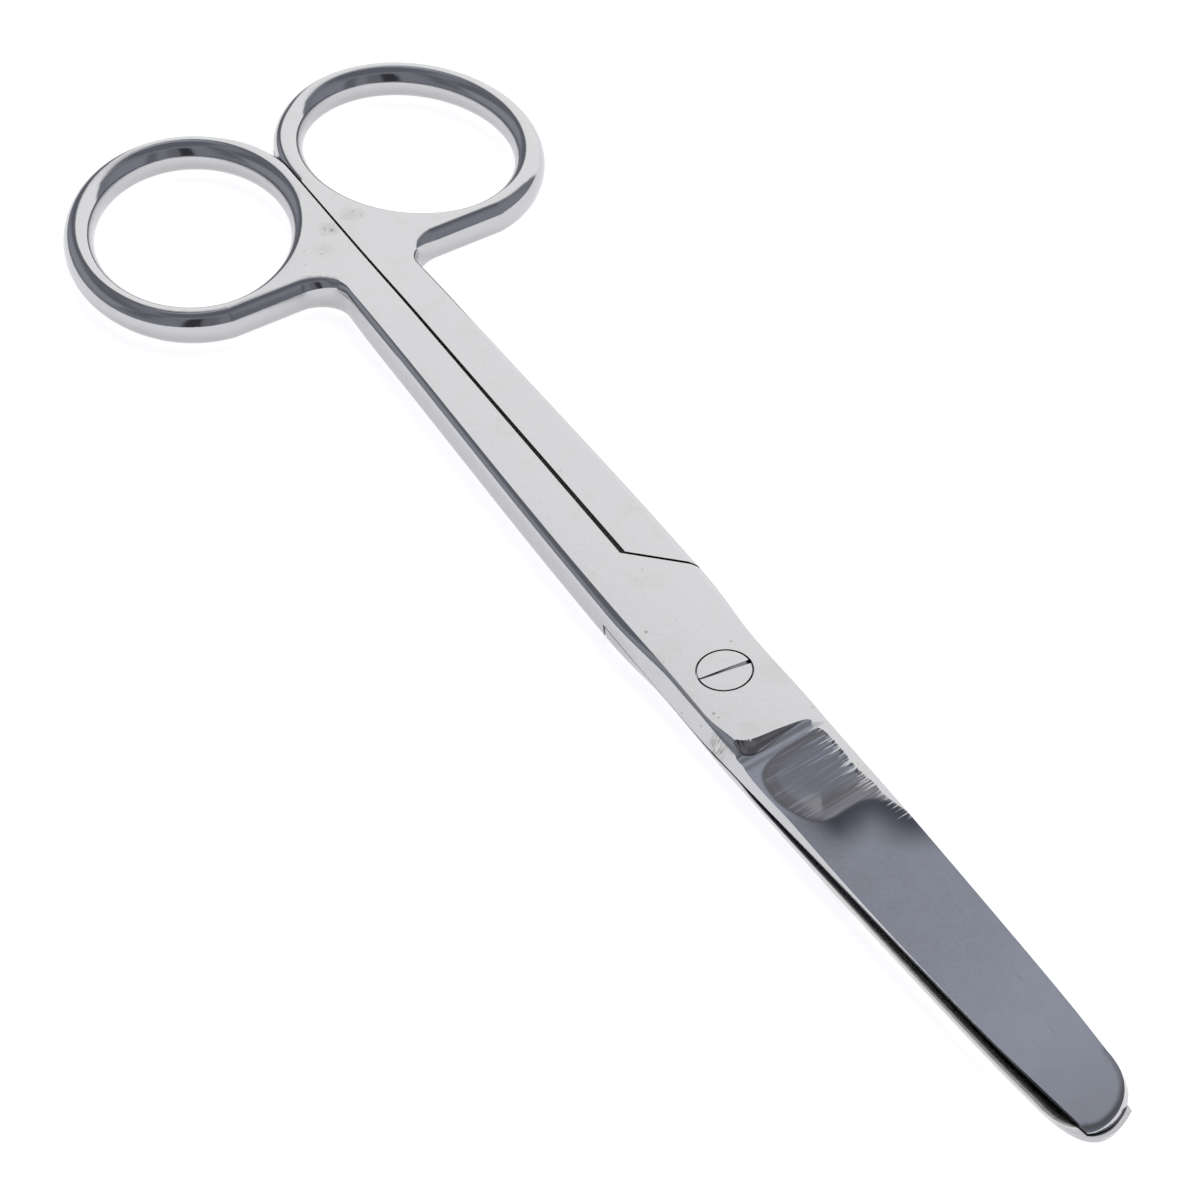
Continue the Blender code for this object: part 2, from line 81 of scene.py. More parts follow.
SIDE_FLATNESS = 0.8  # share of a plain slanted side at the joint; all of it on the blade
FLATNESS_START = -11.0
FLATNESS_RUN = 9.0
FLAT_BLADE_BEFORE = 0.5  # the rest of it begins this much before the shoulder
FLAT_BLADE_RUN = 3.5
SHOULDER_X = 7.4  # where the flat joint ends and the ground blade begins
SHOULDER_LEAN = 0.45  # the side leans in this much more beside the shoulder
SHOULDER_LEAN_RUN = 4
SHOULDER_LEAN_END = 3.5
SHOULDER_LEAN_FADE = 3
SHANK_ROUNDING = 7.5  # power of the height: most of the shank's rounding lies near the faces
CREST_ROUNDING = 0.12  # share of a plain round edge in it, which meets the faces without a crease
SHANK_SHAPE_AFTER = 2  # the shank's rounding begins this far past the bow
SHANK_SHAPE_RUN = 8
CORNER_RADIUS = 3.0  # fillet where the shank leaves the ring
CORNER_LEAN = 0.61  # it leans in this much more, at its bow end
SHANK_START = -60.5
BLADE_STATIONS = (  # (x, cutting edge, back)
    (9.0, 4.43, 4.66),
    (20.0, 3.78, 4.62),
    (32.0, 3.10, 4.46),
    (42.0, 2.43, 4.23),
)
BACK_BEVEL = 0.75
EDGE_BEVEL = 0.80
TIP_BACK_X = TIP_X - 5.6
TIP_BACK_Y = 3.98
TIP_EDGE_X = TIP_X - 1.2
TIP_EDGE_Y = 1.40
UPPER_TIP_HANDLES = ((1.10, 1.20), (4.65, 0.05))
LOWER_TIP_HANDLES = ((2.85, 4.50), (2.70, -0.25))
TIP_BEVEL = 0.45
TIP_FLATNESS = 1.0
EDGE_FADE = 8.0
EDGE_FADE_SHARE = 0.4
BLADE_SET = 0.027
BLADE_SET_START = 11.0
STEP_INNER_X = -16.6
STEP_OUTER_X = -12.5
STEP_OUTER_Y = 3.9
STEP_GAP = 0.15
HEAD_RADIUS = 2.2
HEAD_DEPTH = 1.1
BODY_RADIUS = 1.5
SCREW_GAP = 0.08
THREAD_GAP = 0.01
SEAT_GAP = 0.16  # round the head, whose edge is a little worn
SLOT_NARROW, SLOT_WIDE = 0.17, 0.44
SLOT_DEPTH = 0.45
SLOT_TURN = math.radians(-6.5)
SLOT_OVERRUN = 1.1  # the slot's cutter is this much longer than the head is wide

# Colours of the steel, and of painted shade and reflections on it, as linear values
STEEL = (0.585, 0.585, 0.597)
STEEL_DULL = (0.54, 0.535, 0.53)
STAIN = (0.22, 0.19, 0.15)
GROUND = (0.600, 0.612, 0.622)
GROUND_DULL = (0.55, 0.555, 0.560)
# painted lighter reflection on the blade face towards the tip
GROUND_TIP_REFLECTION = (0.71, 0.725, 0.735)
# painted shade, not the steel's own colour: the darker reflection at the heel, past the patch
HEEL_SHADE = (0.150, 0.156, 0.165)
PATCH_COLOUR = (0.36, 0.365, 0.375)
PATCH_RIM = (0.30, 0.285, 0.275)
PATCH_SIDE = (0.47, 0.450, 0.430)
PATCH_LINE = (0.72, 0.74, 0.78)
# dark streaks and border of the wheel's patch, and also the painted dark reflection inside the rounded tip
PATCH_DARK_AND_TIP_SHADE = (0.27, 0.25, 0.235)
# painted shade in the hollow behind the shoulder, and a darker painted line where it ends
COVE_SHADE = (0.36, 0.33, 0.32)
COVE_EDGE_SHADE = (0.06, 0.05, 0.05)
# painted shade: the hollowed inner faces are coloured dark for the shade between the blades
INNER = (0.25, 0.25, 0.255)
INNER_SHADE_STREAK = (0.20, 0.195, 0.19)
SLIT = (0.33, 0.33, 0.335)
SLIT_DULL = (0.27, 0.265, 0.26)

# Colours of what the steel mirrors
OPENING = (1.17, 1.17, 1.17)
ROOM = (0.250, 0.256, 0.290)
ROOM_SIDE = (0.285, 0.290, 0.335)
ROOM_LIT = (0.330, 0.340, 0.385)
ROOM_DIM = (0.165, 0.170, 0.200)
HALO = (0.415, 0.435, 0.515)
FIGURE_EDGE = (0.185, 0.188, 0.210)
FIGURE = (0.050, 0.050, 0.058)

# Table and lamp
TABLE_COLOUR = (0.80, 0.80, 0.80, 1)
TABLE_SIZE = 6  # metres
TABLE_DROP = 0.0001  # metres below the scissors
TABLE_LIFT = 0.78  # light of its own that the camera sees on it
TABLE_GLARE = 0.62  # and that the steel mirrors
LAMP_STRENGTH = 0.75
LAMP_SPREAD = math.radians(50)
LAMP_AZIMUTH, LAMP_ELEVATION = 120, 58

# Direction and size of the bright opening, in degrees. It is wider and its edge softer higher up.
OPENING_AZIMUTH = 131
OPENING_ELEVATION = 10
OPENING_RADIUS = 36.5
OPENING_EDGE = 5.0
HIGHER_START, HIGHER_END, HIGHER_WIDER = 15, 37, 4.5
HIGHEST_START, HIGHEST_END, HIGHEST_WIDER, HIGHEST_SOFTER = 40, 55, 5.0, 9.0

# Parts of the room, in degrees: (colour, azimuth, half width, its edge, elevation, half height, its edge)
WALLS = (
    (ROOM_SIDE, 45, 22, 14, 22, 18, 14),
    (ROOM_DIM, -95, 3, 18, 38, 14, 16),
    (ROOM_DIM, 8, 3, 10, 20, 26, 14),
)
CEILING_START, CEILING_END = 58, 70
THINGS = (
    (ROOM_DIM, 176, 6, 12, 30, 14, 14),
    (ROOM_LIT, -142, 22, 14, 22, 7, 9),
    (ROOM_DIM, -140, 22, 14, 44, 5, 7),
    (HALO, 164, 9, 9, 57, 5, 4),
    (FIGURE_EDGE, -34, 14, 8, 24, 24, 10),
    (FIGURE, -43, 6, 6, 24, 22, 10),
)

# Marks of use in millimetres: (x, y, z, radius, strength)
SPECKS = (
    (-7.2, -3.1, 3.8, 0.22, 0.7), (-2.5, 2.1, 3.8, 0.13, 0.6), (-7.1, -0.3, 3.8, 0.10, 0.5),
    (-3.5, -3.6, 3.8, 0.12, 0.5), (3.6, -3.2, 3.8, 0.24, 0.7), (4.2, -3.1, 3.8, 0.14, 0.5),
    (0.9, -4.6, 2.25, 0.12, 0.7), (1.6, -4.55, 2.3, 0.08, 0.6), (3.5, -4.35, 2.9, 0.11, 0.7),
    (5.7, -4.15, 3.1, 0.13, 0.6), (-28.1, 0.6, 3.8, 0.10, 0.4), (-69.7, -0.8, 3.6, 0.26, 0.7),
    (-70.2, -1.3, 3.6, 0.16, 0.5), (-71.2, 2.1, 3.6, 0.18, 0.6), (-70.1, 2.4, 3.6, 0.12, 0.5),
    (-67.0, -3.3, 3.6, 0.14, 0.5), (-68.3, -4.4, 3.6, 0.12, 0.5), (-66.4, -5.2, 3.6, 0.12, 0.4),
)
SMUDGES = (
    (-70.0, -0.9, 3.6, 1.3, 0.66), (-70.7, 1.6, 3.6, 1.5, 0.55), (-67.4, -2.6, 3.6, 1.4, 0.35),
    (2.0, 3.2, 3.8, 1.6, 0.20), (6.6, -1.6, 3.8, 1.2, 0.22), (-4.5, -2.2, 3.8, 1.3, 0.15),
)
RUBBED = ((6.0, -4.4, 2.5, 1.5, 0.85),)
SPOT_RIM, SPOT_CORE = 2.2, 1.3  # a mark fades out at the first and is full at the second, in radii
SPOT_RAGGED = 2.2  # how far noise moves its border

# Fineness
SIDE_STEPS = 14
BOW_POINTS = 200
SIDE_POINTS = 190
CORNER_POINTS = 22
TIP_POINTS = 40
ROUND_POINTS = 128
NORMAL_PASSES = 8  # smoothing of the directions that walls lean in, for sharp corners
SHARP = 22  # degrees between faces; less where one of them is level
LEVEL_SHARP = 8
LEVEL_NORMAL = 0.9995
NORMAL_WEIGHT = 60
WELD = 2e-7  # metres
THIN = 1e-7
CAP_STEP = 0.5  # spacing of the extra points in the level faces
CAP_LOW_Y = -24.0
CAP_CLEAR = 0.3  # share of the step that they keep from the outlines
MARGIN = 1.0
BEYOND = 4.0


def smooth(t):
    t = min(max(t, 0.0), 1.0)
    return t * t * (3 - 2 * t)


def through(stations, x, column):
    """Smooth curve through one column of a table of stations, held level past both ends."""
    xs = [row[0] for row in stations]
    ys = [row[column] for row in stations]
    if x <= xs[0]:
        return ys[0]
    if x >= xs[-1]:
        return ys[-1]
    i = max(k for k in range(len(xs) - 1) if xs[k] <= x)

    def slope(k):
        lo, hi = max(k - 1, 0), min(k + 1, len(xs) - 1)
        return (ys[hi] - ys[lo]) / (xs[hi] - xs[lo])

    span = xs[i + 1] - xs[i]
    t = (x - xs[i]) / span
    h00 = 2 * t ** 3 - 3 * t ** 2 + 1
    h10 = t ** 3 - 2 * t ** 2 + t
    h11 = t ** 3 - t ** 2
    return h00 * ys[i] + h10 * span * slope(i) + (1 - h00) * ys[i + 1] + h11 * span * slope(i + 1)


# Distances from the slit's middle line: (x, y) pairs from the stations' own columns
SHANK_SIDE = tuple((x, y) for x, _, y in SHANK_STATIONS)
EDGE_SIDE = SHANK_SIDE + tuple((x, y) for x, y, _ in BLADE_STATIONS) + ((TIP_EDGE_X, TIP_EDGE_Y),)
BACK_SIDE = SHANK_SIDE + tuple((x, y) for x, _, y in BLADE_STATIONS) + ((TIP_BACK_X, TIP_BACK_Y),)
FLAT_TOP = tuple((x, top) for x, top, _ in SHANK_STATIONS)


def side_bevel(x, bevel):
    shank = through(EDGE_SIDE, x, 1) - through(FLAT_TOP, x, 1)
    mix = smooth((x - SHANK_STATIONS[-2][0]) / (BLADE_STATIONS[0][0] - SHANK_STATIONS[-2][0]))
    return shank * (1 - mix) + bevel * mix


def ring_point(angle, out):
    x, y = RING_LONG * math.cos(angle), RING_SHORT * math.sin(angle)
    nx, ny = RING_SHORT * math.cos(angle), RING_LONG * math.sin(angle)
    n = math.hypot(nx, ny)
    p = Matrix.Rotation(-RING_TILT, 2) @ Vector((x + out * nx / n, y + out * ny / n))
    return RING_X + p.x, -RING_Y + p.y


def ring_outside():
    bow = BOW_WIDTH / 2
    points = []
    for k in range(BOW_POINTS + 1):
        angle = RING_START + (2 * math.pi - RING_START) * k / BOW_POINTS
        x, y = ring_point(angle, bow)
        lean = bow - BOW_CREST / 2
        lean -= CROTCH_TRIM * smooth((y + CROTCH_RUN) / CROTCH_RUN)
        lean -= ROOT_TRIM * smooth((x - RING_X - ROOT_TRIM_START) / ROOT_TRIM_RUN)
        points.append((x, y, lean, 0.0))
    last = max(range(len(points)), key=lambda k: points[k][0])
    return points[:last + 1]


def ring_corner(bow_x):
    shank_y = -through(EDGE_SIDE, SHANK_START, 1)
    lean = side_bevel(SHANK_START, 0)
    cx, cy = bow_x + CORNER_RADIUS, shank_y - CORNER_RADIUS
    points = []
    for k in range(CORNER_POINTS + 1):
        t = k / CORNER_POINTS
        a = math.pi - math.pi / 2 * t
        x, y = cx + CORNER_RADIUS * math.cos(a), cy + CORNER_RADIUS * math.sin(a)
        points.append((x, y, lean + CORNER_LEAN * (1 - t), 0.0))
    return points


def flatness(x):
    on_joint = SIDE_FLATNESS * smooth((x - FLATNESS_START) / FLATNESS_RUN)
    return on_joint + (1 - SIDE_FLATNESS) * smooth((x - SHOULDER_X + FLAT_BLADE_BEFORE) / FLAT_BLADE_RUN)


def edge_side(x_start):
    points = []
    for k in range(1, SIDE_POINTS + 1):
        x = x_start + (TIP_EDGE_X - x_start) * k / SIDE_POINTS
        lean = side_bevel(x, EDGE_BEVEL)
        before = smooth((x - SHOULDER_X + SHOULDER_LEAN_RUN) / SHOULDER_LEAN_RUN)
        after = smooth((SHOULDER_X + SHOULDER_LEAN_END - x) / SHOULDER_LEAN_FADE)
        lean += SHOULDER_LEAN * before * after
        lean *= 1 - EDGE_FADE_SHARE * smooth((x - TIP_EDGE_X + EDGE_FADE) / EDGE_FADE)
        points.append((x, -through(EDGE_SIDE, x, 1), lean, flatness(x)))
    return points


def tip_and_back(handles):
    points = []
    for k in range(1, TIP_POINTS):
        t = k / TIP_POINTS
        p = tip_point(handles, t)
        lean = TIP_BEVEL + (BACK_BEVEL - TIP_BEVEL) * t
        points.append((p.x, p.y, lean, TIP_FLATNESS))
    end = STEP_INNER_X - BEYOND
    steps = SIDE_POINTS // 2
    for k in range(steps + 1):
        x = TIP_BACK_X + (end - TIP_BACK_X) * k / steps
        points.append((x, through(BACK_SIDE, x, 1), side_bevel(x, BACK_BEVEL), flatness(x)))
    return points


def set_across(x, blade_set):
    return blade_set * max(x - BLADE_SET_START, 0.0)


def outline(blade_set, handles):
    points = ring_outside()
    points += ring_corner(points[-1][0])
    points += edge_side(points[-1][0])
    points += tip_and_back(handles)
    end_x = points[-1][0]
    points.append((end_x - 2 * MARGIN, MARGIN, MARGIN / 2, 0.0))
    points.append((RING_X, MARGIN, MARGIN / 2, 0.0))
    return [(x, y - set_across(x, blade_set), lean, straight) for x, y, lean, straight in points]


def ring_hole():
    points = []
    for k in range(BOW_POINTS):
        angle = 2 * math.pi * k / BOW_POINTS
        x, y = ring_point(angle, -BOW_WIDTH / 2)
        web = smooth((x - RING_X) / WEB_RUN_X) * smooth((y + RING_Y + WEB_RUN_Y / 3) / WEB_RUN_Y)
        points.append((x, y, (BOW_WIDTH - BOW_CREST) / 2 - WEB_TRIM * web, 0.0))
    return points


def inward(points, clockwise):
    normals = []
    sign = -1 if clockwise else 1
    for i, p in enumerate(points):
        a, b = points[i - 1], points[(i + 1) % len(points)]
        da = Vector((p[0] - a[0], p[1] - a[1])).normalized()
        db = Vector((b[0] - p[0], b[1] - p[1])).normalized()
        d = (da + db).normalized()
        normals.append(Vector((-d.y, d.x)) * sign)
    for _ in range(NORMAL_PASSES):
        after = normals[1:] + normals[:1]
        before = normals[-1:] + normals[:-1]
        normals = [(a + 2 * n + b).normalized() for a, n, b in zip(before, normals, after)]
    return normals


def level_ratio(x):
    bow = BOW_THICKNESS / THICKNESS
    return bow + (1 - bow) * smooth((x - BOW_START) / (BOW_END - BOW_START))


def add_wall(mesh, points, clockwise):
    """Side wall of one outline, as strips of faces; gives back its bottom and top rows."""
    normals = inward(points, clockwise)
    rows = []
    for k in range(-SIDE_STEPS, SIDE_STEPS + 1):
        a = math.pi / 2 * k / SIDE_STEPS
        row = []
        for (x, y, lean, straight), n in zip(points, normals):
            height = abs(math.sin(a))
            on_shank = smooth((x - BOW_START - SHANK_SHAPE_AFTER) / SHANK_SHAPE_RUN)
            on_shank *= 1 - CREST_ROUNDING
            round_in = (1 - on_shank) * (1 - math.cos(a)) + on_shank * height ** SHANK_ROUNDING
            inset = lean * ((1 - straight) * round_in + straight * height)
            px, py = x + n.x * inset, y + n.y * inset
            row.append(mesh.verts.new((px, py, HALF_T + HALF_T * level_ratio(px) * math.sin(a))))
        rows.append(row)
    count = len(points)
    for low, high in zip(rows, rows[1:]):
        for i in range(count):
            j = (i + 1) % count
            mesh.faces.new((low[i], low[j], high[j], high[i]))
    return rows[0], rows[-1]


def inside(loop, x, y):
    """Whether a point lies in a closed plan loop of mesh vertices."""
    hit = False
    for a, b in zip(loop, loop[1:] + loop[:1]):
        if (a.co.y > y) != (b.co.y > y):
            if x < a.co.x + (y - a.co.y) / (b.co.y - a.co.y) * (b.co.x - a.co.x):
                hit = not hit
    return hit


def add_cap(mesh, outer, inner, side):
    """Top or underside between the two rows, with extra points where the forging thins to the bow."""
    loops = list(outer) + list(inner)
    flat = [Vector((v.co.x, v.co.y)) for v in loops]
    edges = [(i, (i + 1) % len(outer)) for i in range(len(outer))]
    edges += [(len(outer) + i, len(outer) + (i + 1) % len(inner)) for i in range(len(inner))]
    extra = []
    x = BOW_START - MARGIN
    while x < BOW_END + MARGIN:
        y = CAP_LOW_Y
        while y < MARGIN:
            if inside(outer, x, y) and not inside(inner, x, y):
                near = min((v.co.x - x) ** 2 + (v.co.y - y) ** 2 for v in loops)
                if near > (CAP_CLEAR * CAP_STEP) ** 2:
                    extra.append((x, y))
            y += CAP_STEP
        x += CAP_STEP
    verts = loops + [mesh.verts.new((x, y, HALF_T + side * HALF_T * level_ratio(x))) for x, y in extra]
    flat += [Vector(p) for p in extra]
    _, _, faces, source, _, _ = geometry.delaunay_2d_cdt(flat, edges, [], 1, 1e-6)
    for face in faces:
        corners = [verts[source[i][0]] for i in face]
        cx = sum(v.co.x for v in corners) / 3
        cy = sum(v.co.y for v in corners) / 3
        if not inside(inner, cx, cy) and mesh.faces.get(corners) is None:
            mesh.faces.new(corners if side > 0 else corners[::-1])


def mesh_object(mesh, name):
    bmesh.ops.recalc_face_normals(mesh, faces=mesh.faces)
    data = bpy.data.meshes.new(name)
    mesh.to_mesh(data)
    mesh.free()
    thing = bpy.data.objects.new(name, data)
    bpy.context.scene.collection.objects.link(thing)
    return thing


def forged_blank(name, blade_set, handles):
    mesh = bmesh.new()
    outer = add_wall(mesh, outline(blade_set, handles), clockwise=False)
    inner = add_wall(mesh, ring_hole(), clockwise=True)
    add_cap(mesh, outer[0], inner[0], -1)
    add_cap(mesh, outer[1], inner[1], 1)
    return mesh_object(mesh, name)


def prism(name, corners, low, high):
    mesh = bmesh.new()
    bottom = [mesh.verts.new((x, y, low)) for x, y in corners]
    top = [mesh.verts.new((x, y, high)) for x, y in corners]
    mesh.faces.new(bottom)
    mesh.faces.new(top)
    for i in range(len(corners)):
        j = (i + 1) % len(corners)
        mesh.faces.new((bottom[i], bottom[j], top[j], top[i]))
    return mesh_object(mesh, name)


STEP_LEAN = (STEP_OUTER_X - STEP_INNER_X) / STEP_OUTER_Y
OUTSIDE_Y = 4 * RING_Y  # well past the widest point


def slit_cutter():
    """Takes away the other half's side of the slit and of the slanted step."""
    return prism("slit_cutter", (
        (RING_X - 2 * RING_LONG, -SLIT_AT_RING / 2),
        (RING_X, -SLIT_AT_RING / 2),
        (STEP_INNER_X + STEP_GAP, -SLIT_AT_JOINT / 2),
        (STEP_INNER_X + STEP_GAP + STEP_LEAN * OUTSIDE_Y, OUTSIDE_Y),
        (RING_X - 2 * RING_LONG, OUTSIDE_Y),
    ), -BEYOND, THICKNESS + BEYOND)


def lap_cutter():
    """Halves the thickness from the step on, up to the lap plane."""
    return prism("lap_cutter", (
        (STEP_INNER_X, 0),
        (STEP_INNER_X + STEP_LEAN * OUTSIDE_Y, -OUTSIDE_Y),
        (TIP_X + BEYOND, -OUTSIDE_Y),
        (TIP_X + BEYOND, OUTSIDE_Y),
        (STEP_INNER_X - BEYOND, OUTSIDE_Y),
    ), -BEYOND, LAP)


# Ground face of the blade, measured up from the lap plane. Lines are drawn in plan, after the photograph.

SHOULDER_LINE = (  # (y, x) of the edge where the flat top ends
    (-4.6, 7.35), (-4.0, 7.1), (-3.6, 6.95), (-3.3, 6.92), (-3.1, 7.02), (-2.85, 7.25), (-2.5, 7.45),
    (-1.79, 7.64), (0.0, 7.75), (1.34, 7.88), (2.21, 8.0), (2.68, 8.18), (3.03, 8.57), (3.19, 9.25),
    (3.3, 10.2),
)
RAIL = (  # (x, y) of the border between the ground face and the strip along the back
    (8.5, 3.06), (9.93, 3.24), (12.4, 3.22), (14.0, 3.14), (15.5, 3.22), (16.9, 3.52), (18.9, 3.78),
    (20.5, 4.1), (22.0, 4.8),
)
RAIL_WIDTH = 0.34
RAIL_SHIFT = 0.30
TEETH = ((0.10, 4.2, 3.1), (0.06, 10.0, 9.7))  # height, fineness and seed of the border's ragged teeth
TEETH_X0, TEETH_RUN_IN = 10.4, 0.8
TEETH_X1, TEETH_RUN_OUT = 18.5, 2.0
LAND = (  # (x, height) of the face at the cutting edge
    (7.0, 0.97), (9.25, 0.95), (14.0, 0.74), (22.0, 0.46), (30.0, 0.30), (37.0, 0.26), (53.0, 0.24),
)
FACE_SLOPE = 0.175
ROOT_SLOPE = 0.125
SLOPE_START, SLOPE_RUN = 8.0, 11.0
SWELL_HEIGHT, SWELL_X, SWELL_WIDTH = 0.05, 9.0, 0.55
LEVEL_CLEAR = 0.02  # the cutter stays this much above what it leaves level
CLEAR_RISE = 0.3

PATCH_CONTOUR = (  # (x, y) round the wheel's patch
    (9.6, 8.0), (9.58, 0.5), (9.75, -1.4), (10.3, -2.7), (11.1, -3.2), (12.3, -3.4), (13.8, -3.38),
    (15.8, -2.8), (17.0, -2.05), (17.5, -1.2), (17.42, 0.5), (17.42, 1.4), (17.65, 2.2), (18.3, 2.95),
    (19.4, 3.55), (21.5, 4.0), (21.5, 8.0),
)
PATCH_PASSES = 2
PATCH_DEPTH = 0.04
PATCH_RUN = 2.6  # the patch sinks this gently at its near side
PATCH_REACH = 30  # x up to which the distance to its border is worked out
FAR = 9.0  # stands for a distance that doesn't matter

COVE_NARROW, COVE_WIDENING, COVE_NARROW_Y, COVE_WIDE = 0.16, 0.24, 1.9, 1.25
GENTLE_Y, GENTLE_RUN, GENTLE_POWER = -1.7, 1.2, 1.4
SHOULDER_MIDDLE = 7.8

HEEL_HEIGHT = 0.13
HEEL_RISE = 3.2
HEEL_BACK_SHARE = 0.5  # the heel is this much lower at the back
HEEL_Y, HEEL_Y_RUN = -1.0, 4.0
HEEL_X, HEEL_X_RUN = 12.0, 4.0
HEEL_LENGTH = 3.2
HEEL_FADE = 3.8

TIP_ROUNDING = 0.65
TIP_DROP = 0.17
TIP_CURVE_STEPS = 60

# Spacing of the grinding cutter's points: (start, spacing) pairs along each axis
GRIND_X = ((SHOULDER_MIDDLE - 0.4, 0.08), (12.0, 0.09), (21.0, 0.35), (46.0, 0.10), (TIP_X + MARGIN, 0))
GRIND_LOW_Y, GRIND_FINE_Y, GRIND_FINE_END_Y, GRIND_HIGH_Y = -6.2, -4.8, 4.4, 6.4
GRIND_COARSE, GRIND_FINE = 0.4, 0.10
FOLLOW_END, FOLLOW_RUN = 12.5, 4.5  # the grid's rows follow the shoulder up to here

# Hollow of the inner face
HOLLOW_X, HOLLOW_FADE, HOLLOW_TIP, HOLLOW_TIP_RUN = 6.0, 7.0, 1.7, 2.2
HOLLOW_CURVE = 0.32
HOLLOW_STEEP = 0.38
HOLLOW_DEEP = 0.30
HOLLOW_BEND = 1.6
HOLLOW_EDGE_SLOPE = 0.22
HOLLOW_CLEAR = 0.004  # the cutter's flat parts stay this much under the lap face
HOLLOW_STEP = 0.3
HOLLOW_BACKS = ((-0.6, 0.1), (2.4, 0.35), (11.0, 0))
BACK_POWER = 2.2  # of the curve by which the back runs out at the tip

# Where the ground face changes its colour, and which faces get which material
GROUND_X = 5  # the joint side of this has no ground face
GROUND_FACES_X = 6.7
ON_FACE = 0.03  # a point this near to the worked-out face lies on it
ON_TOP = 0.001
LEVEL_TOP = 1e-4
COVE_END_X = 12
COVE_NEAR_Y, COVE_NEAR_RUN = -3.15, 0.7
PAST_COVE = 2.0  # any value past the cove's end
COVE_BACK_MARGIN = 0.3
BROWN_IN, BROWN_RUN = 0.5, 0.9
RAIL_X0, RAIL_X1 = 9, 22
SHADE_X, SHADE_X_RUN = 15.0, 2.0
SHADE_Y, SHADE_Y_RUN = -3.4, 2.6
SHADE_OUT = 0.2
SIDE_X, SIDE_X_RUN = 14.4, 1.4
SIDE_Y, SIDE_Y_RUN = -2.8, 2.0
TIP_TONE_X, TIP_TONE_RUN = 30.0, 18.0
END_MARGIN = 2
FACES_UP, FACES_DOWN, STANDS = 0.05, -0.3, 0.3
INNER_BELOW, INNER_ABOVE = 0.01, 0.1
POLISHED, GROUND_FACE, INNER_FACE, SLIT_WALL = range(4)


def tip_point(handles, t):
    corner = Vector((TIP_EDGE_X, -TIP_EDGE_Y))
    back = Vector((TIP_BACK_X, TIP_BACK_Y))
    pull_a = corner + Vector(handles[0])
    pull_b = back + Vector(handles[1])
    first = corner * (1 - t) ** 3 + pull_a * 3 * t * (1 - t) ** 2
    return first + pull_b * 3 * t * t * (1 - t) + back * t ** 3


TIP_CURVE = [tip_point(UPPER_TIP_HANDLES, k / TIP_CURVE_STEPS) for k in range(TIP_CURVE_STEPS + 1)]


def to_tip(x, y):
    """Distance from the blade's rounded end."""
    return min(math.hypot(x - p.x, y - p.y) for p in TIP_CURVE)


def shoulder_x(y):
    return through(SHOULDER_LINE, y, 1)


def cove_run(y):
    """Length of the hollow behind the shoulder, which narrows towards the back of the blade."""
    return min(COVE_NARROW + COVE_WIDENING * max(COVE_NARROW_Y - y, 0.0), COVE_WIDE)


def smoothed(corners, passes):
    """The same line with its corners cut, ends kept."""
    for _ in range(passes):
        cuts = [corners[0]]
        for (ax, ay), (bx, by) in zip(corners, corners[1:]):
            cuts.append((ax * 0.75 + bx * 0.25, ay * 0.75 + by * 0.25))
            cuts.append((ax * 0.25 + bx * 0.75, ay * 0.25 + by * 0.75))
        corners = cuts + [corners[-1]]
    return corners


PATCH_LOOP = smoothed(PATCH_CONTOUR, PATCH_PASSES)


def into_patch(x, y):
    """How far a point lies inside the wheel's patch; below zero outside of it."""
    nearest, within = math.inf, False
    for (ax, ay), (bx, by) in zip(PATCH_LOOP, PATCH_LOOP[1:]):
        ux, uy = bx - ax, by - ay
        t = min(max(((x - ax) * ux + (y - ay) * uy) / (ux * ux + uy * uy), 0.0), 1.0)
        nearest = min(nearest, math.hypot(x - ax - t * ux, y - ay - t * uy))
        if (ay > y) != (by > y) and x < ax + (y - ay) / (by - ay) * (bx - ax):
            within = not within
    return nearest if within else -nearest


def ground_height(x, y):
    """Height of the ground face over the lap plane."""
    edge = -through(EDGE_SIDE, x, 1)
    mix = smooth((x - SLOPE_START) / SLOPE_RUN)
    slope = ROOT_SLOPE + (FACE_SLOPE - ROOT_SLOPE) * mix
    face = through(LAND, x, 1) + slope * (y - edge)
    # a low swell between the cove and the patch, which the wheel sinks below the face
    face += SWELL_HEIGHT * math.exp(-((x - SWELL_X) / SWELL_WIDTH) ** 2)
    into = into_patch(x, y) if x < PATCH_REACH else PATCH_LOOP[-1][0] - x
    face -= PATCH_DEPTH * smooth(into / PATCH_RUN)
    heel = HEEL_HEIGHT * (1 - HEEL_BACK_SHARE * smooth((y - HEEL_Y) / HEEL_Y_RUN))
    heel *= smooth((x - HEEL_X) / HEEL_X_RUN)
    face += heel * smooth((HEEL_RISE - into) / HEEL_RISE) * math.exp(-max(-into, 0) / HEEL_LENGTH)
    if x > TIP_BACK_X - TIP_ROUNDING:
        from_end = to_tip(x, y)
        if from_end < TIP_ROUNDING:
            face -= TIP_DROP * (1 - math.sqrt(1 - (1 - from_end / TIP_ROUNDING) ** 2))
    run = (x - shoulder_x(y)) / cove_run(y)
    if run <= 0:
        return HALF_T + LEVEL_CLEAR + CLEAR_RISE * min(-run, 1.0)
    if run < 1:
        # steep at the shoulder, and gentle where it runs out at the blade's near side
        gentle = smooth((GENTLE_Y - y) / GENTLE_RUN)
        steep_fall, gentle_fall = math.sqrt(1 - (1 - run) ** 2), 1 - (1 - run) ** GENTLE_POWER
        face = HALF_T - (HALF_T - face) * ((1 - gentle) * steep_fall + gentle * gentle_fall)
    tooth = sum(size * noise.noise(Vector((x * fineness, 0.0, seed))) for size, fineness, seed in TEETH)
    rail = through(RAIL, x, 1)
    rail += tooth * smooth((x - TEETH_X0) / TEETH_RUN_IN) * smooth((TEETH_X1 - x) / TEETH_RUN_OUT)
    rise = smooth((y - rail + RAIL_SHIFT) / RAIL_WIDTH)
    return face + (HALF_T + LEVEL_CLEAR - face) * rise


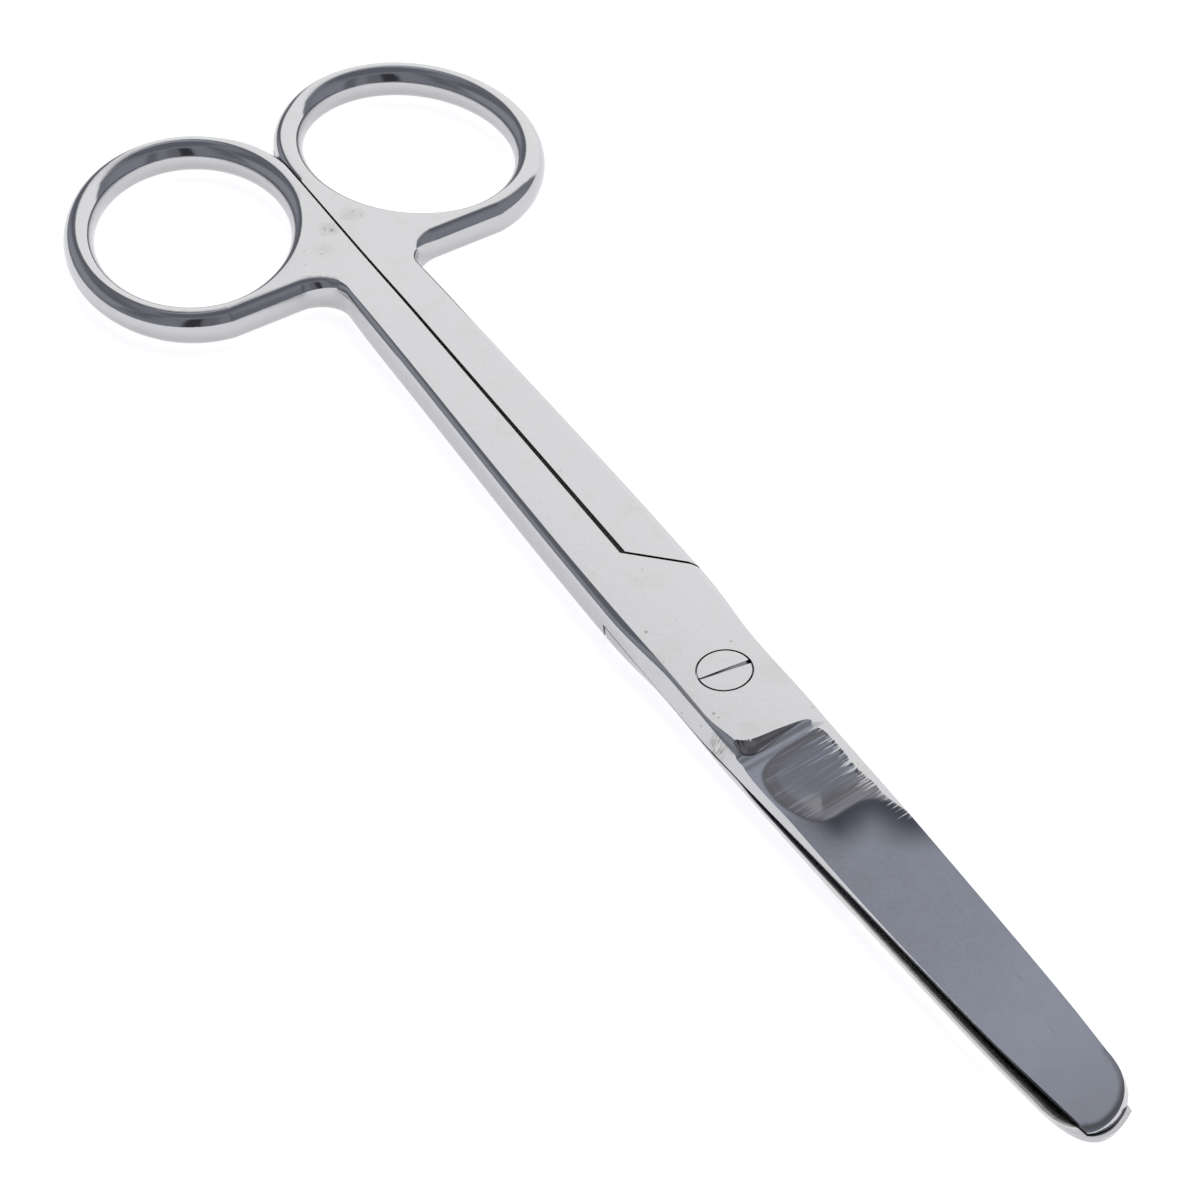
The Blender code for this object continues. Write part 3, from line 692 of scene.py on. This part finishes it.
def axis_points(stops):
    """Points along one axis: (start, spacing) pairs, the last start ending the run."""
    points = [stops[0][0]]
    for (_, spacing), (end, _) in zip(stops, stops[1:]):
        while points[-1] < end - 1e-6:
            points.append(points[-1] + spacing)
    return points


def close_block(mesh, rows, level):
    """Walls and an end at one level, which make a grid of points into a solid."""
    ends = ((rows[0], 0), (rows[-1], 0), (rows[-1], -1), (rows[0], -1))
    corners = [mesh.verts.new((row[k].co.x, row[k].co.y, level)) for row, k in ends]
    mesh.faces.new(corners)
    mesh.faces.new([row[0] for row in rows] + [corners[1], corners[0]])
    mesh.faces.new([row[-1] for row in rows] + [corners[2], corners[3]])
    mesh.faces.new(rows[0] + [corners[3], corners[0]])
    mesh.faces.new(rows[-1] + [corners[2], corners[1]])


def grind_cutter(blade_set, coarseness):
    """What the grinding takes away: all that lies above the ground face."""
    xs = axis_points([(start, spacing * coarseness) for start, spacing in GRIND_X])
    ys = axis_points(((GRIND_LOW_Y, GRIND_COARSE), (GRIND_FINE_Y, GRIND_FINE * coarseness),
                      (GRIND_FINE_END_Y, GRIND_COARSE), (GRIND_HIGH_Y, 0)))
    mesh = bmesh.new()
    low = []
    for x in xs:
        row = []
        for y in ys:
            # the grid's rows follow the shoulder, so that it is cut cleanly
            along = x + (shoulder_x(y) - SHOULDER_MIDDLE) * smooth((FOLLOW_END - x) / FOLLOW_RUN)
            z = ground_height(along, y)
            row.append(mesh.verts.new((along, y - set_across(along, blade_set), HALF_T + z)))
        low.append(row)
    for a, b in zip(low, low[1:]):
        for j in range(len(ys) - 1):
            mesh.faces.new((a[j], b[j], b[j + 1], a[j + 1]))
    close_block(mesh, low, THICKNESS + BEYOND)
    return mesh_object(mesh, "grind_cutter")


def back_of_blade(x):
    """Distance of the back from the middle plane, rounded off towards the tip."""
    if x < TIP_BACK_X:
        return through(BACK_SIDE, x, 1)
    along = min((x - TIP_BACK_X) / (TIP_X - TIP_BACK_X), 1.0)
    return TIP_BACK_Y * (1 - along ** BACK_POWER) ** (1 / BACK_POWER)


def hollow_depth(x, from_back, from_edge):
    """Hollow grinding of the inner face: curved from the back, then levelling out, and less at the edge."""
    if from_back <= 0:
        return -LAP_GAP / 4
    curved = HOLLOW_CURVE * from_back * from_back
    reach = HOLLOW_STEEP / (2 * HOLLOW_CURVE)
    if from_back > reach:
        curved = HOLLOW_STEEP * (from_back - reach / 2)
    levelled = HOLLOW_DEEP * (1 - math.exp(-curved / HOLLOW_DEEP * HOLLOW_BEND))
    depth = min(curved, levelled, HOLLOW_EDGE_SLOPE * from_edge)
    depth *= smooth((x - HOLLOW_X) / HOLLOW_FADE)
    return depth * smooth((TIP_X - HOLLOW_TIP - x) / HOLLOW_TIP_RUN) - HOLLOW_CLEAR


def hollow_cutter(blade_set):
    xs = axis_points(((HOLLOW_X, HOLLOW_STEP), (TIP_X, 0)))
    backs = axis_points(HOLLOW_BACKS)
    mesh = bmesh.new()
    top = []
    for x in xs:
        back, edge = back_of_blade(x), -through(EDGE_SIDE, x, 1)
        row = []
        for from_back in backs:
            y = back - from_back
            z = LAP + hollow_depth(x, from_back, y - edge)
            row.append(mesh.verts.new((x, y - set_across(x, blade_set), z)))
        top.append(row)
    for a, b in zip(top, top[1:]):
        for j in range(len(backs) - 1):
            mesh.faces.new((a[j], a[j + 1], b[j + 1], b[j]))
    close_block(mesh, top, -BEYOND)
    return mesh_object(mesh, "hollow_cutter")


def drum(name, radius, low, high):
    mesh = bmesh.new()
    bmesh.ops.create_cone(mesh, cap_ends=True, segments=ROUND_POINTS, radius1=radius, radius2=radius,
                          depth=high - low)
    bmesh.ops.translate(mesh, verts=mesh.verts, vec=(0, 0, (low + high) / 2))
    return mesh_object(mesh, name)


def cut(target, cutters, operation="DIFFERENCE"):
    """Applies Booleans one after the other and removes the cutters."""
    for cutter in cutters:
        modifier = target.modifiers.new("cut", "BOOLEAN")
        modifier.operation = operation
        modifier.object = cutter
        modifier.solver = "EXACT"
        bpy.context.view_layer.update()
        shown = target.evaluated_get(bpy.context.evaluated_depsgraph_get())
        result = bpy.data.meshes.new_from_object(shown)
        target.modifiers.clear()
        target.data = result
        bpy.data.objects.remove(cutter)


def finish_steel(thing, name, turned):
    """Millimetres to metres, turned over where needed, with crisp edges and smooth faces."""
    if turned:
        thing.data.transform(Matrix.Translation((0, 0, THICKNESS)) @ Matrix.Rotation(math.pi, 4, "X"))
    thing.data.transform(Matrix.Scale(MM, 4))
    mesh = bmesh.new()
    mesh.from_mesh(thing.data)
    bmesh.ops.remove_doubles(mesh, verts=mesh.verts, dist=WELD)
    bmesh.ops.dissolve_degenerate(mesh, edges=mesh.edges, dist=THIN)
    bmesh.ops.triangulate(mesh, faces=[f for f in mesh.faces if len(f.verts) > 4])
    for face in mesh.faces:
        face.smooth = True
    for edge in mesh.edges:
        if len(edge.link_faces) == 2:
            angle = math.degrees(edge.calc_face_angle(0))
            levelled = max(abs(face.normal.z) for face in edge.link_faces) > LEVEL_NORMAL
            edge.smooth = angle < (LEVEL_SHARP if levelled else SHARP)
    mesh.to_mesh(thing.data)
    mesh.free()
    weighted = thing.modifiers.new("weighted", "WEIGHTED_NORMAL")
    weighted.keep_sharp = True
    weighted.weight = NORMAL_WEIGHT
    thing.name = name
    thing.data.name = name


def mark_points(data, blade_set):
    """Keeps on each point where it lies in the ground and hollowed faces; says which lie on the first."""
    kept = {name: [] for name in ("into_patch", "past_shoulder", "brown", "side", "from_rail", "heel",
                                  "towards_tip", "end", "hollowed")}
    on_face = []
    for vertex in data.vertices:
        x, y = vertex.co.x, vertex.co.y + set_across(vertex.co.x, blade_set)
        into = into_patch(x, y) if GROUND_X < x < PATCH_REACH else -FAR
        kept["into_patch"].append(into)
        cove = PAST_COVE
        if GROUND_X < x < COVE_END_X:
            cove = (x - shoulder_x(y)) / cove_run(y) + PAST_COVE * smooth((COVE_NEAR_Y - y) / COVE_NEAR_RUN)
        kept["past_shoulder"].append(cove if y < COVE_NARROW_Y + COVE_BACK_MARGIN else PAST_COVE)
        kept["brown"].append(1 - smooth((into - BROWN_IN) / BROWN_RUN))
        kept["from_rail"].append(through(RAIL, x, 1) - y if RAIL_X0 < x < RAIL_X1 else FAR)
        # how much painted shade each point gets at the heel, past the patch
        shade = smooth((x - SHADE_X) / SHADE_X_RUN) * smooth((y - SHADE_Y) / SHADE_Y_RUN)
        shade *= 1 - smooth((-into - SHADE_OUT) / HEEL_FADE)
        kept["heel"].append(shade if x < PATCH_REACH else 0.0)
        kept["side"].append(smooth((x - SIDE_X) / SIDE_X_RUN) * smooth((y - SIDE_Y) / SIDE_Y_RUN))
        kept["towards_tip"].append(smooth((x - TIP_TONE_X) / TIP_TONE_RUN))
        kept["end"].append(to_tip(x, y) if x > TIP_BACK_X - END_MARGIN else FAR)
        kept["hollowed"].append(vertex.co.z - LAP if x > HOLLOW_X else 0.0)
        level = HALF_T + ground_height(x, y) if x > GROUND_X else THICKNESS
        near = abs(vertex.co.z - level) < ON_FACE and vertex.co.z < THICKNESS + ON_TOP
        on_face.append(x > GROUND_X and near)
    for name, values in kept.items():
        data.attributes.new(name, "FLOAT", "POINT").data.foreach_set("value", values)
    return on_face


def mark_faces(data, on_face):
    """Gives the ground faces, the hollowed ones and the slit's walls their own materials."""
    for face in data.polygons:
        x, y, z = face.center
        if face.normal.z > FACES_UP and all(on_face[i] for i in face.vertices) and x > GROUND_FACES_X:
            level = all(data.vertices[i].co.z > THICKNESS - LEVEL_TOP for i in face.vertices)
            face.material_index = POLISHED if level else GROUND_FACE
        hollowed = LAP - INNER_BELOW < z < LAP + HOLLOW_DEEP + INNER_ABOVE
        if face.normal.z < FACES_DOWN and x > HOLLOW_X - MARGIN and hollowed:
            face.material_index = INNER_FACE
        on_slit = abs(y) < SLIT_AT_JOINT and x < STEP_INNER_X + 2 * MARGIN
        on_step = abs(y) < STEP_OUTER_Y - 0.1 and STEP_INNER_X - MARGIN < x < STEP_OUTER_X + MARGIN
        if abs(face.normal.z) < STANDS and (on_slit or on_step):
            face.material_index = SLIT_WALL


def build_half(name, node, body, blade_set, handles, holes, turned, coarseness):
    half = forged_blank(name, blade_set, handles)
    cutters = [slit_cutter(), lap_cutter(), grind_cutter(blade_set, coarseness), hollow_cutter(blade_set)]
    cut(half, cutters + holes)
    half.data.materials.clear()
    for look in (polished, ground, inner, slit):
        half.data.materials.append(look)
    mark_faces(half.data, mark_points(half.data, blade_set))
    finish_steel(half, name, turned)
    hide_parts(node)
    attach(half, body)


def build_screw():
    screw = drum("screw", HEAD_RADIUS, THICKNESS - HEAD_DEPTH, THICKNESS)
    cut(screw, [drum("screw_body", BODY_RADIUS, 0, THICKNESS - HEAD_DEPTH / 2)], "UNION")
    slot = prism("slot_cutter", (
        (-SLOT_NARROW / 2, -HEAD_RADIUS),
        (SLOT_NARROW / 2, -HEAD_RADIUS),
        (SLOT_WIDE / 2, HEAD_RADIUS),
        (-SLOT_WIDE / 2, HEAD_RADIUS),
    ), THICKNESS - SLOT_DEPTH, THICKNESS + BEYOND)
    slot.data.transform(Matrix.Rotation(SLOT_TURN, 4, "Z") @ Matrix.Scale(SLOT_OVERRUN, 4, (0, 1, 0)))
    cut(screw, [slot])
    finish_steel(screw, "screw", False)
    screw.data.materials.clear()
    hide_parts("pivot_screw")
    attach(screw, "lower")
    screw.data.materials.append(polished)


# Materials

class Nodes:
    """Short calls for the nodes of one tree."""

    def __init__(self, tree):
        self.tree = tree

    def feed(self, socket, value):
        if isinstance(value, bpy.types.NodeSocket):
            self.tree.links.new(value, socket)
        elif isinstance(value, tuple):
            socket.default_value = (*value, 1) if len(socket.default_value) == 4 else value
        else:
            socket.default_value = value

    def maths(self, operation, *values):
        node = self.tree.nodes.new("ShaderNodeMath")
        node.operation = operation
        for socket, value in zip(node.inputs, values):
            self.feed(socket, value)
        return node.outputs[0]

    def vectors(self, operation, *values):
        node = self.tree.nodes.new("ShaderNodeVectorMath")
        node.operation = operation
        for socket, value in zip(node.inputs, values):
            self.feed(socket, value)
        return node.outputs

    def ease(self, value, low, high, out_low=0.0, out_high=1.0):
        node = self.tree.nodes.new("ShaderNodeMapRange")
        node.interpolation_type = "SMOOTHSTEP"
        self.feed(node.inputs["Value"], value)
        node.inputs["From Min"].default_value = low
        node.inputs["From Max"].default_value = high
        node.inputs["To Min"].default_value = out_low
        node.inputs["To Max"].default_value = out_high
        return node.outputs["Result"]

    def tint(self, base, colour, share):
        node = self.tree.nodes.new("ShaderNodeMix")
        node.data_type = "RGBA"
        self.feed(node.inputs["Factor"], share)
        self.feed(node.inputs["A"], base)
        self.feed(node.inputs["B"], colour)
        return node.outputs["Result"]


class Shading(Nodes):
    """A Principled material whose looks come from noise and from what is stored on the points."""

    def __init__(self, name):
        self.material = bpy.data.materials.new(name)
        self.material.use_nodes = True
        super().__init__(self.material.node_tree)
        self.shader = self.tree.nodes["Principled BSDF"]
        self.place = self.tree.nodes.new("ShaderNodeTexCoord").outputs["Object"]

    def grain(self, stretch, scale, detail, seed=0.0):
        """Noise over the object's own coordinates in millimetres, squeezed or drawn out along each axis."""
        spread = self.tree.nodes.new("ShaderNodeMapping")
        self.feed(spread.inputs["Vector"], self.place)
        spread.inputs["Location"].default_value = (seed, seed, seed)
        spread.inputs["Scale"].default_value = tuple(k / MM for k in stretch)
        node = self.tree.nodes.new("ShaderNodeTexNoise")
        self.feed(node.inputs["Vector"], spread.outputs["Vector"])
        node.inputs["Scale"].default_value = scale
        node.inputs["Detail"].default_value = detail
        return node.outputs["Fac"]

    def stored(self, name):
        node = self.tree.nodes.new("ShaderNodeAttribute")
        node.attribute_name = name
        return node.outputs["Fac"]

    def spots(self, places, ragged):
        """Small marks at given points in millimetres: (x, y, z, radius, strength)."""
        total = 0.0
        for x, y, z, radius, strength in places:
            away = self.vectors("DISTANCE", self.place, (x * MM, y * MM, z * MM))["Value"]
            away = self.maths("DIVIDE", away, radius * MM)
            reach = self.maths("ADD", away, self.maths("MULTIPLY", ragged, SPOT_RAGGED))
            total = self.maths("MAXIMUM", total, self.ease(reach, SPOT_RIM, SPOT_CORE, 0.0, strength))
        return total

    def level_out(self, share):
        """Turns the surface's direction towards the level one by a share."""
        surface = self.tree.nodes.new("ShaderNodeNewGeometry")
        up = self.tree.nodes.new("ShaderNodeVectorTransform")
        up.vector_type = "NORMAL"
        up.convert_from = "OBJECT"
        up.convert_to = "WORLD"
        up.inputs["Vector"].default_value = (0, 0, 1)
        side = self.vectors("DOT_PRODUCT", surface.outputs["Normal"], up.outputs["Vector"])["Value"]
        facing = self.tree.nodes.new("ShaderNodeVectorMath")
        facing.operation = "SCALE"
        self.feed(facing.inputs[0], up.outputs["Vector"])
        self.feed(facing.inputs["Scale"], self.maths("SIGN", side))
        mixed = self.tree.nodes.new("ShaderNodeMix")
        mixed.data_type = "VECTOR"
        self.feed(mixed.inputs["Factor"], share)
        # its sockets 4 and 5 are A and B for vectors, and its output 1 is their mix
        self.feed(mixed.inputs[4], surface.outputs["Normal"])
        self.feed(mixed.inputs[5], facing.outputs["Vector"])
        return self.vectors("NORMALIZE", mixed.outputs[1])["Vector"]

    def finish(self, colour, roughness, bumps=(), normal=None):
        """Joins up the shader; each bump is its height, strength and distance in millimetres."""
        self.feed(self.shader.inputs["Base Color"], colour)
        self.feed(self.shader.inputs["Roughness"], roughness)
        self.shader.inputs["Metallic"].default_value = 1.0
        for level, strength, distance in bumps:
            bump = self.tree.nodes.new("ShaderNodeBump")
            bump.inputs["Strength"].default_value = strength
            bump.inputs["Distance"].default_value = distance * MM
            self.feed(bump.inputs["Height"], level)
            if normal:
                self.feed(bump.inputs["Normal"], normal)
            normal = bump.outputs["Normal"]
        if normal:
            self.feed(self.shader.inputs["Normal"], normal)
        return self.material


def polished_steel():
    """Mirror-polished forging: a faint wobble, uneven haze, small dull specks and a few marks of use."""
    look = Shading("polished_steel")
    cloud = look.grain((1, 1, 1), 0.45, 4.0)
    fine = look.grain((1, 1, 1), 5.0, 2.0, 7.0)
    ragged = look.grain((1, 1, 1), 3.2, 5.0, 11.0)
    brush = look.grain((9.0, 0.9, 0.9), 1.0, 3.0, 2.0)
    colour = look.tint(STEEL, STEEL_DULL, look.ease(cloud, 0.50, 0.78, 0.0, 0.5))
    speck = look.ease(look.grain((1, 1, 1), 1.7, 4.0, 3.0), 0.74, 0.82)
    colour = look.tint(colour, STAIN, look.maths("MULTIPLY", speck, 0.4))
    colour = look.tint(colour, STAIN, look.spots(SPECKS, ragged))
    grit = look.grain((1, 1, 1), 19.0, 2.0, 5.0)
    smudge = look.maths("MULTIPLY", look.spots(SMUDGES, cloud), look.ease(grit, 0.40, 0.70))
    colour = look.tint(colour, STAIN, smudge)
    rubbed = look.maths("MULTIPLY", look.spots(RUBBED, cloud), look.ease(brush, 0.46, 0.60))
    colour = look.tint(colour, STAIN, rubbed)
    wobble = look.grain((1, 1, 1), 1.1, 3.0, 9.0)
    roughness = look.ease(fine, 0.35, 0.75, 0.07, 0.15)
    return look.finish(colour, roughness, ((fine, 0.10, 0.004), (wobble, 0.22, 0.02)))


def ground_steel():
    """Blade face: a streaked patch with a brown rim from the wheel, painted shade at the heel and in the
    cove.
    """
    look = Shading("ground_steel")
    streak = look.grain((4.6, 0.16, 0.3), 1.0, 4.0)
    wide = look.grain((1.1, 0.10, 0.2), 1.0, 2.0, 5.0)
    haze = look.grain((0.5, 0.5, 0.5), 1.0, 3.0, 2.0)
    mottle = look.grain((1, 1, 1), 3.0, 5.0, 4.0)
    scratch = look.grain((0.22, 2.6, 0.3), 1.0, 5.0, 8.0)
    into = look.stored("into_patch")
    patch = look.ease(into, -0.10, 0.14)
    rim = look.maths("ADD", look.stored("brown"), look.maths("MULTIPLY", wide, 0.5))
    brown = look.maths("MULTIPLY", patch, look.ease(rim, 0.35, 1.05))
    colour = look.tint(GROUND, GROUND_DULL, look.ease(mottle, 0.35, 0.75, 0.0, 0.7))
    # painted lighter reflection towards the tip
    colour = look.tint(colour, GROUND_TIP_REFLECTION, look.stored("towards_tip"))
    # painted shade at the heel, past the patch
    colour = look.tint(colour, HEEL_SHADE, look.stored("heel"))
    colour = look.tint(colour, PATCH_DARK_AND_TIP_SHADE, look.maths("MULTIPLY", look.ease(scratch, 0.64, 0.76), 0.12))
    colour = look.tint(colour, PATCH_COLOUR, patch)
    colour = look.tint(colour, PATCH_RIM, brown)
    colour = look.tint(colour, PATCH_SIDE, look.maths("MULTIPLY", patch, look.stored("side")))
    border = look.maths("MULTIPLY", look.ease(into, -0.30, -0.04), look.ease(into, 0.34, 0.06))
    paler = look.maths("MULTIPLY_ADD", look.stored("side"), -0.5, 0.9)
    colour = look.tint(colour, PATCH_DARK_AND_TIP_SHADE, look.maths("MULTIPLY", border, paler))
    lines = look.maths("MULTIPLY", look.ease(streak, 0.52, 0.74), patch)
    colour = look.tint(colour, PATCH_LINE, look.maths("MULTIPLY", lines, 0.6))
    dark = look.maths("MULTIPLY", look.ease(streak, 0.46, 0.28), patch)
    colour = look.tint(colour, PATCH_DARK_AND_TIP_SHADE, look.maths("MULTIPLY", dark, 0.6))
    # painted shade in the cove behind the shoulder, and a painted dark line where the cove ends
    cove = look.stored("past_shoulder")
    shadow = look.maths("MULTIPLY", look.ease(cove, 0.0, 0.08), look.ease(cove, 1.02, 0.90))
    colour = look.tint(colour, COVE_SHADE, look.maths("MULTIPLY", shadow, 0.8))
    line = look.maths("MULTIPLY", look.ease(cove, 0.84, 0.93), look.ease(cove, 1.04, 0.97))
    colour = look.tint(colour, COVE_EDGE_SHADE, look.maths("MULTIPLY", line, 0.8))
    # painted dark reflection: an arc just inside the blade's rounded end
    end = look.maths("ADD", look.stored("end"), look.maths("MULTIPLY", mottle, 0.25))
    arc = look.maths("MULTIPLY", look.ease(end, 0.22, 0.50), look.ease(end, 1.10, 0.60))
    colour = look.tint(colour, PATCH_DARK_AND_TIP_SHADE, look.maths("MULTIPLY", arc, 0.55))
    # streaks of the level top reach into the patch at its far border
    threads = look.grain((8.5, 0.20, 0.3), 1.0, 3.0, 6.0)
    reach = look.maths("MULTIPLY_ADD", look.stored("from_rail"), 0.17, 0.43)
    feather = look.ease(look.maths("SUBTRACT", threads, reach), 0.0, 0.12)
    feather = look.maths("MULTIPLY", feather, look.ease(look.stored("from_rail"), 2.2, 1.0))
    colour = look.tint(colour, STEEL, feather)
    roughness = look.ease(haze, 0.3, 0.7, 0.13, 0.16)
    relief = look.maths("MULTIPLY", streak, look.maths("ADD", look.maths("MULTIPLY", patch, 0.8), 0.2))
    return look.finish(colour, roughness, ((relief, 0.12, 0.006),), look.level_out(feather))


def inner_steel():
    """Inner faces: polished where the hollow ends, else satin and painted dark, in streaks, for the shade
    between the blades.
    """
    look = Shading("inner_steel")
    lines = look.grain((3.5, 0.12, 0.3), 1.0, 3.0, 4.0)
    hollow = look.ease(look.stored("hollowed"), 0.0005, 0.014)
    # painted shade between the blades on the hollow, in streaks
    colour = look.tint(STEEL, look.tint(INNER, INNER_SHADE_STREAK, look.ease(lines, 0.35, 0.7)), hollow)
    return look.finish(colour, look.maths("MULTIPLY_ADD", hollow, 0.14, 0.10), ((lines, 0.02, 0.004),))


def slit_steel():
    """Walls of the slit between the shanks, left dull from the saw."""
    look = Shading("slit_steel")
    cloud = look.grain((1, 1, 1), 1.2, 4.0)
    colour = look.tint(SLIT, SLIT_DULL, look.ease(cloud, 0.35, 0.70))
    return look.finish(colour, 0.30)


polished = polished_steel()
inner = inner_steel()
slit = slit_steel()
ground = ground_steel()

# Pieces
build_half("upper_blade_half", "upper_half", "upper", 0.0, UPPER_TIP_HANDLES, [
    drum("seat", HEAD_RADIUS + SEAT_GAP, THICKNESS - HEAD_DEPTH - SCREW_GAP, THICKNESS + BEYOND),
    drum("hole", BODY_RADIUS + SCREW_GAP, -BEYOND, THICKNESS + BEYOND),
], False, 1.0)
build_half("lower_blade_half", "lower_half", "lower", BLADE_SET, LOWER_TIP_HANDLES, [
    drum("hole", BODY_RADIUS + THREAD_GAP, -BEYOND, THICKNESS + BEYOND),
], True, 2.0)
build_screw()

# Table: white to the camera and in the steel's reflections, keeping the shadows
bpy.ops.mesh.primitive_plane_add(size=TABLE_SIZE, location=(0, 0, -TABLE_DROP))
table = bpy.context.object
table.name = "table"
table_material = bpy.data.materials.new("table")
table_material.use_nodes = True
table_shader = table_material.node_tree.nodes["Principled BSDF"]
table_shader.inputs["Base Color"].default_value = TABLE_COLOUR
table_shader.inputs["Roughness"].default_value = 0.9
table_shader.inputs["Specular IOR Level"].default_value = 0.0
table_nodes = Nodes(table_material.node_tree)
seen = table_nodes.tree.nodes.new("ShaderNodeLightPath").outputs
glare = table_nodes.maths("MULTIPLY", seen["Is Glossy Ray"], TABLE_GLARE)
lift = table_nodes.maths("MULTIPLY_ADD", seen["Is Camera Ray"], TABLE_LIFT, glare)
table_nodes.feed(table_shader.inputs["Emission Strength"], lift)
table_shader.inputs["Emission Color"].default_value = (1, 1, 1, 1)
table.data.materials.append(table_material)

# Camera: fitted to the photograph's outline and edges, in radians, metres and millimetres
CAMERA_AZIMUTH, CAMERA_ELEVATION, CAMERA_ROLL = -0.4506, 0.7702, -0.0933
CAMERA_PLACE = Vector((0.16032, -0.08798, 0.19002))
CAMERA_LENS = 98.057
CAMERA_SENSOR = 36
CAMERA_NEAR = 0.01
camera_data = bpy.data.cameras.new("camera")
camera_data.sensor_width = CAMERA_SENSOR
camera_data.lens = CAMERA_LENS
camera_data.clip_start = CAMERA_NEAR
camera = bpy.data.objects.new("camera", camera_data)
back = Vector((
    math.cos(CAMERA_ELEVATION) * math.cos(CAMERA_AZIMUTH),
    math.cos(CAMERA_ELEVATION) * math.sin(CAMERA_AZIMUTH),
    math.sin(CAMERA_ELEVATION),
))
across = Vector((0, 0, 1)).cross(back).normalized()
upward = back.cross(across)
right = math.cos(CAMERA_ROLL) * across + math.sin(CAMERA_ROLL) * upward
top = -math.sin(CAMERA_ROLL) * across + math.cos(CAMERA_ROLL) * upward
camera.matrix_world = Matrix.Translation(CAMERA_PLACE) @ Matrix((right, top, back)).transposed().to_4x4()
scene = bpy.context.scene
scene.collection.objects.link(camera)
scene.camera = camera
scene.view_settings.view_transform = "Standard"

# World: a bright opening beyond the scissors, a dim room elsewhere and the photographer's dark figure

def spherical(azimuth, elevation):
    a, e = math.radians(azimuth), math.radians(elevation)
    return math.cos(e) * math.cos(a), math.cos(e) * math.sin(a), math.sin(e)


world = bpy.data.worlds.new("world")
scene.world = world
world.use_nodes = True
air = Nodes(world.node_tree)
maths, ease, tint = air.maths, air.ease, air.tint
direction = air.tree.nodes.new("ShaderNodeTexCoord").outputs["Generated"]


def along(vector):
    return air.vectors("DOT_PRODUCT", direction, vector)["Value"]


def degrees(angle):
    return maths("MULTIPLY", angle, 180 / math.pi)


def round_from(azimuth):
    """Angle in plan from one azimuth, in degrees."""
    ahead = along(spherical(azimuth, 0))
    left = along(spherical(azimuth + 90, 0))
    return degrees(maths("ARCTAN2", left, ahead))


def band(value, middle, half, edge):
    """1 within half of the middle, easing to 0 over the edge."""
    return ease(maths("ABSOLUTE", maths("SUBTRACT", value, middle)), half + edge, half)


def with_parts(room, parts):
    """The room with soft-edged parts in their own colours."""
    for colour, azimuth, half_width, side_edge, elevation, half_height, level_edge in parts:
        wide = band(round_from(azimuth), 0, half_width, side_edge)
        room = tint(room, colour, maths("MULTIPLY", wide, band(height, elevation, half_height, level_edge)))
    return room


height = degrees(maths("ARCSINE", along((0, 0, 1))))
room = with_parts(ROOM, WALLS)
room = tint(room, ROOM_DIM, ease(height, CEILING_START, CEILING_END))
room = with_parts(room, THINGS)

from_middle = degrees(maths("ARCCOSINE", along(spherical(OPENING_AZIMUTH, OPENING_ELEVATION))))
higher = ease(height, HIGHER_START, HIGHER_END)
highest = ease(height, HIGHEST_START, HIGHEST_END)
reach = maths("ADD", maths("MULTIPLY", higher, HIGHER_WIDER), maths("MULTIPLY", highest, HIGHEST_WIDER))
reach = maths("ADD", reach, OPENING_RADIUS)
softness = maths("ADD", maths("MULTIPLY", highest, HIGHEST_SOFTER), OPENING_EDGE)
share = ease(maths("DIVIDE", maths("SUBTRACT", reach, from_middle), softness), -0.5, 0.5)
sky = tint(room, OPENING, share)
seen = air.tree.nodes.new("ShaderNodeLightPath").outputs
sky = tint(sky, (1, 1, 1), seen["Is Camera Ray"])
air.feed(air.tree.nodes["Background"].inputs["Color"], sky)

sun_data = bpy.data.lights.new("window_light", "SUN")
sun_data.energy = LAMP_STRENGTH
sun_data.angle = LAMP_SPREAD
sun = bpy.data.objects.new("window_light", sun_data)
scene.collection.objects.link(sun)
sun.rotation_euler = Vector(spherical(LAMP_AZIMUTH, LAMP_ELEVATION)).to_track_quat("Z", "Y").to_euler()
sun.visible_glossy = False
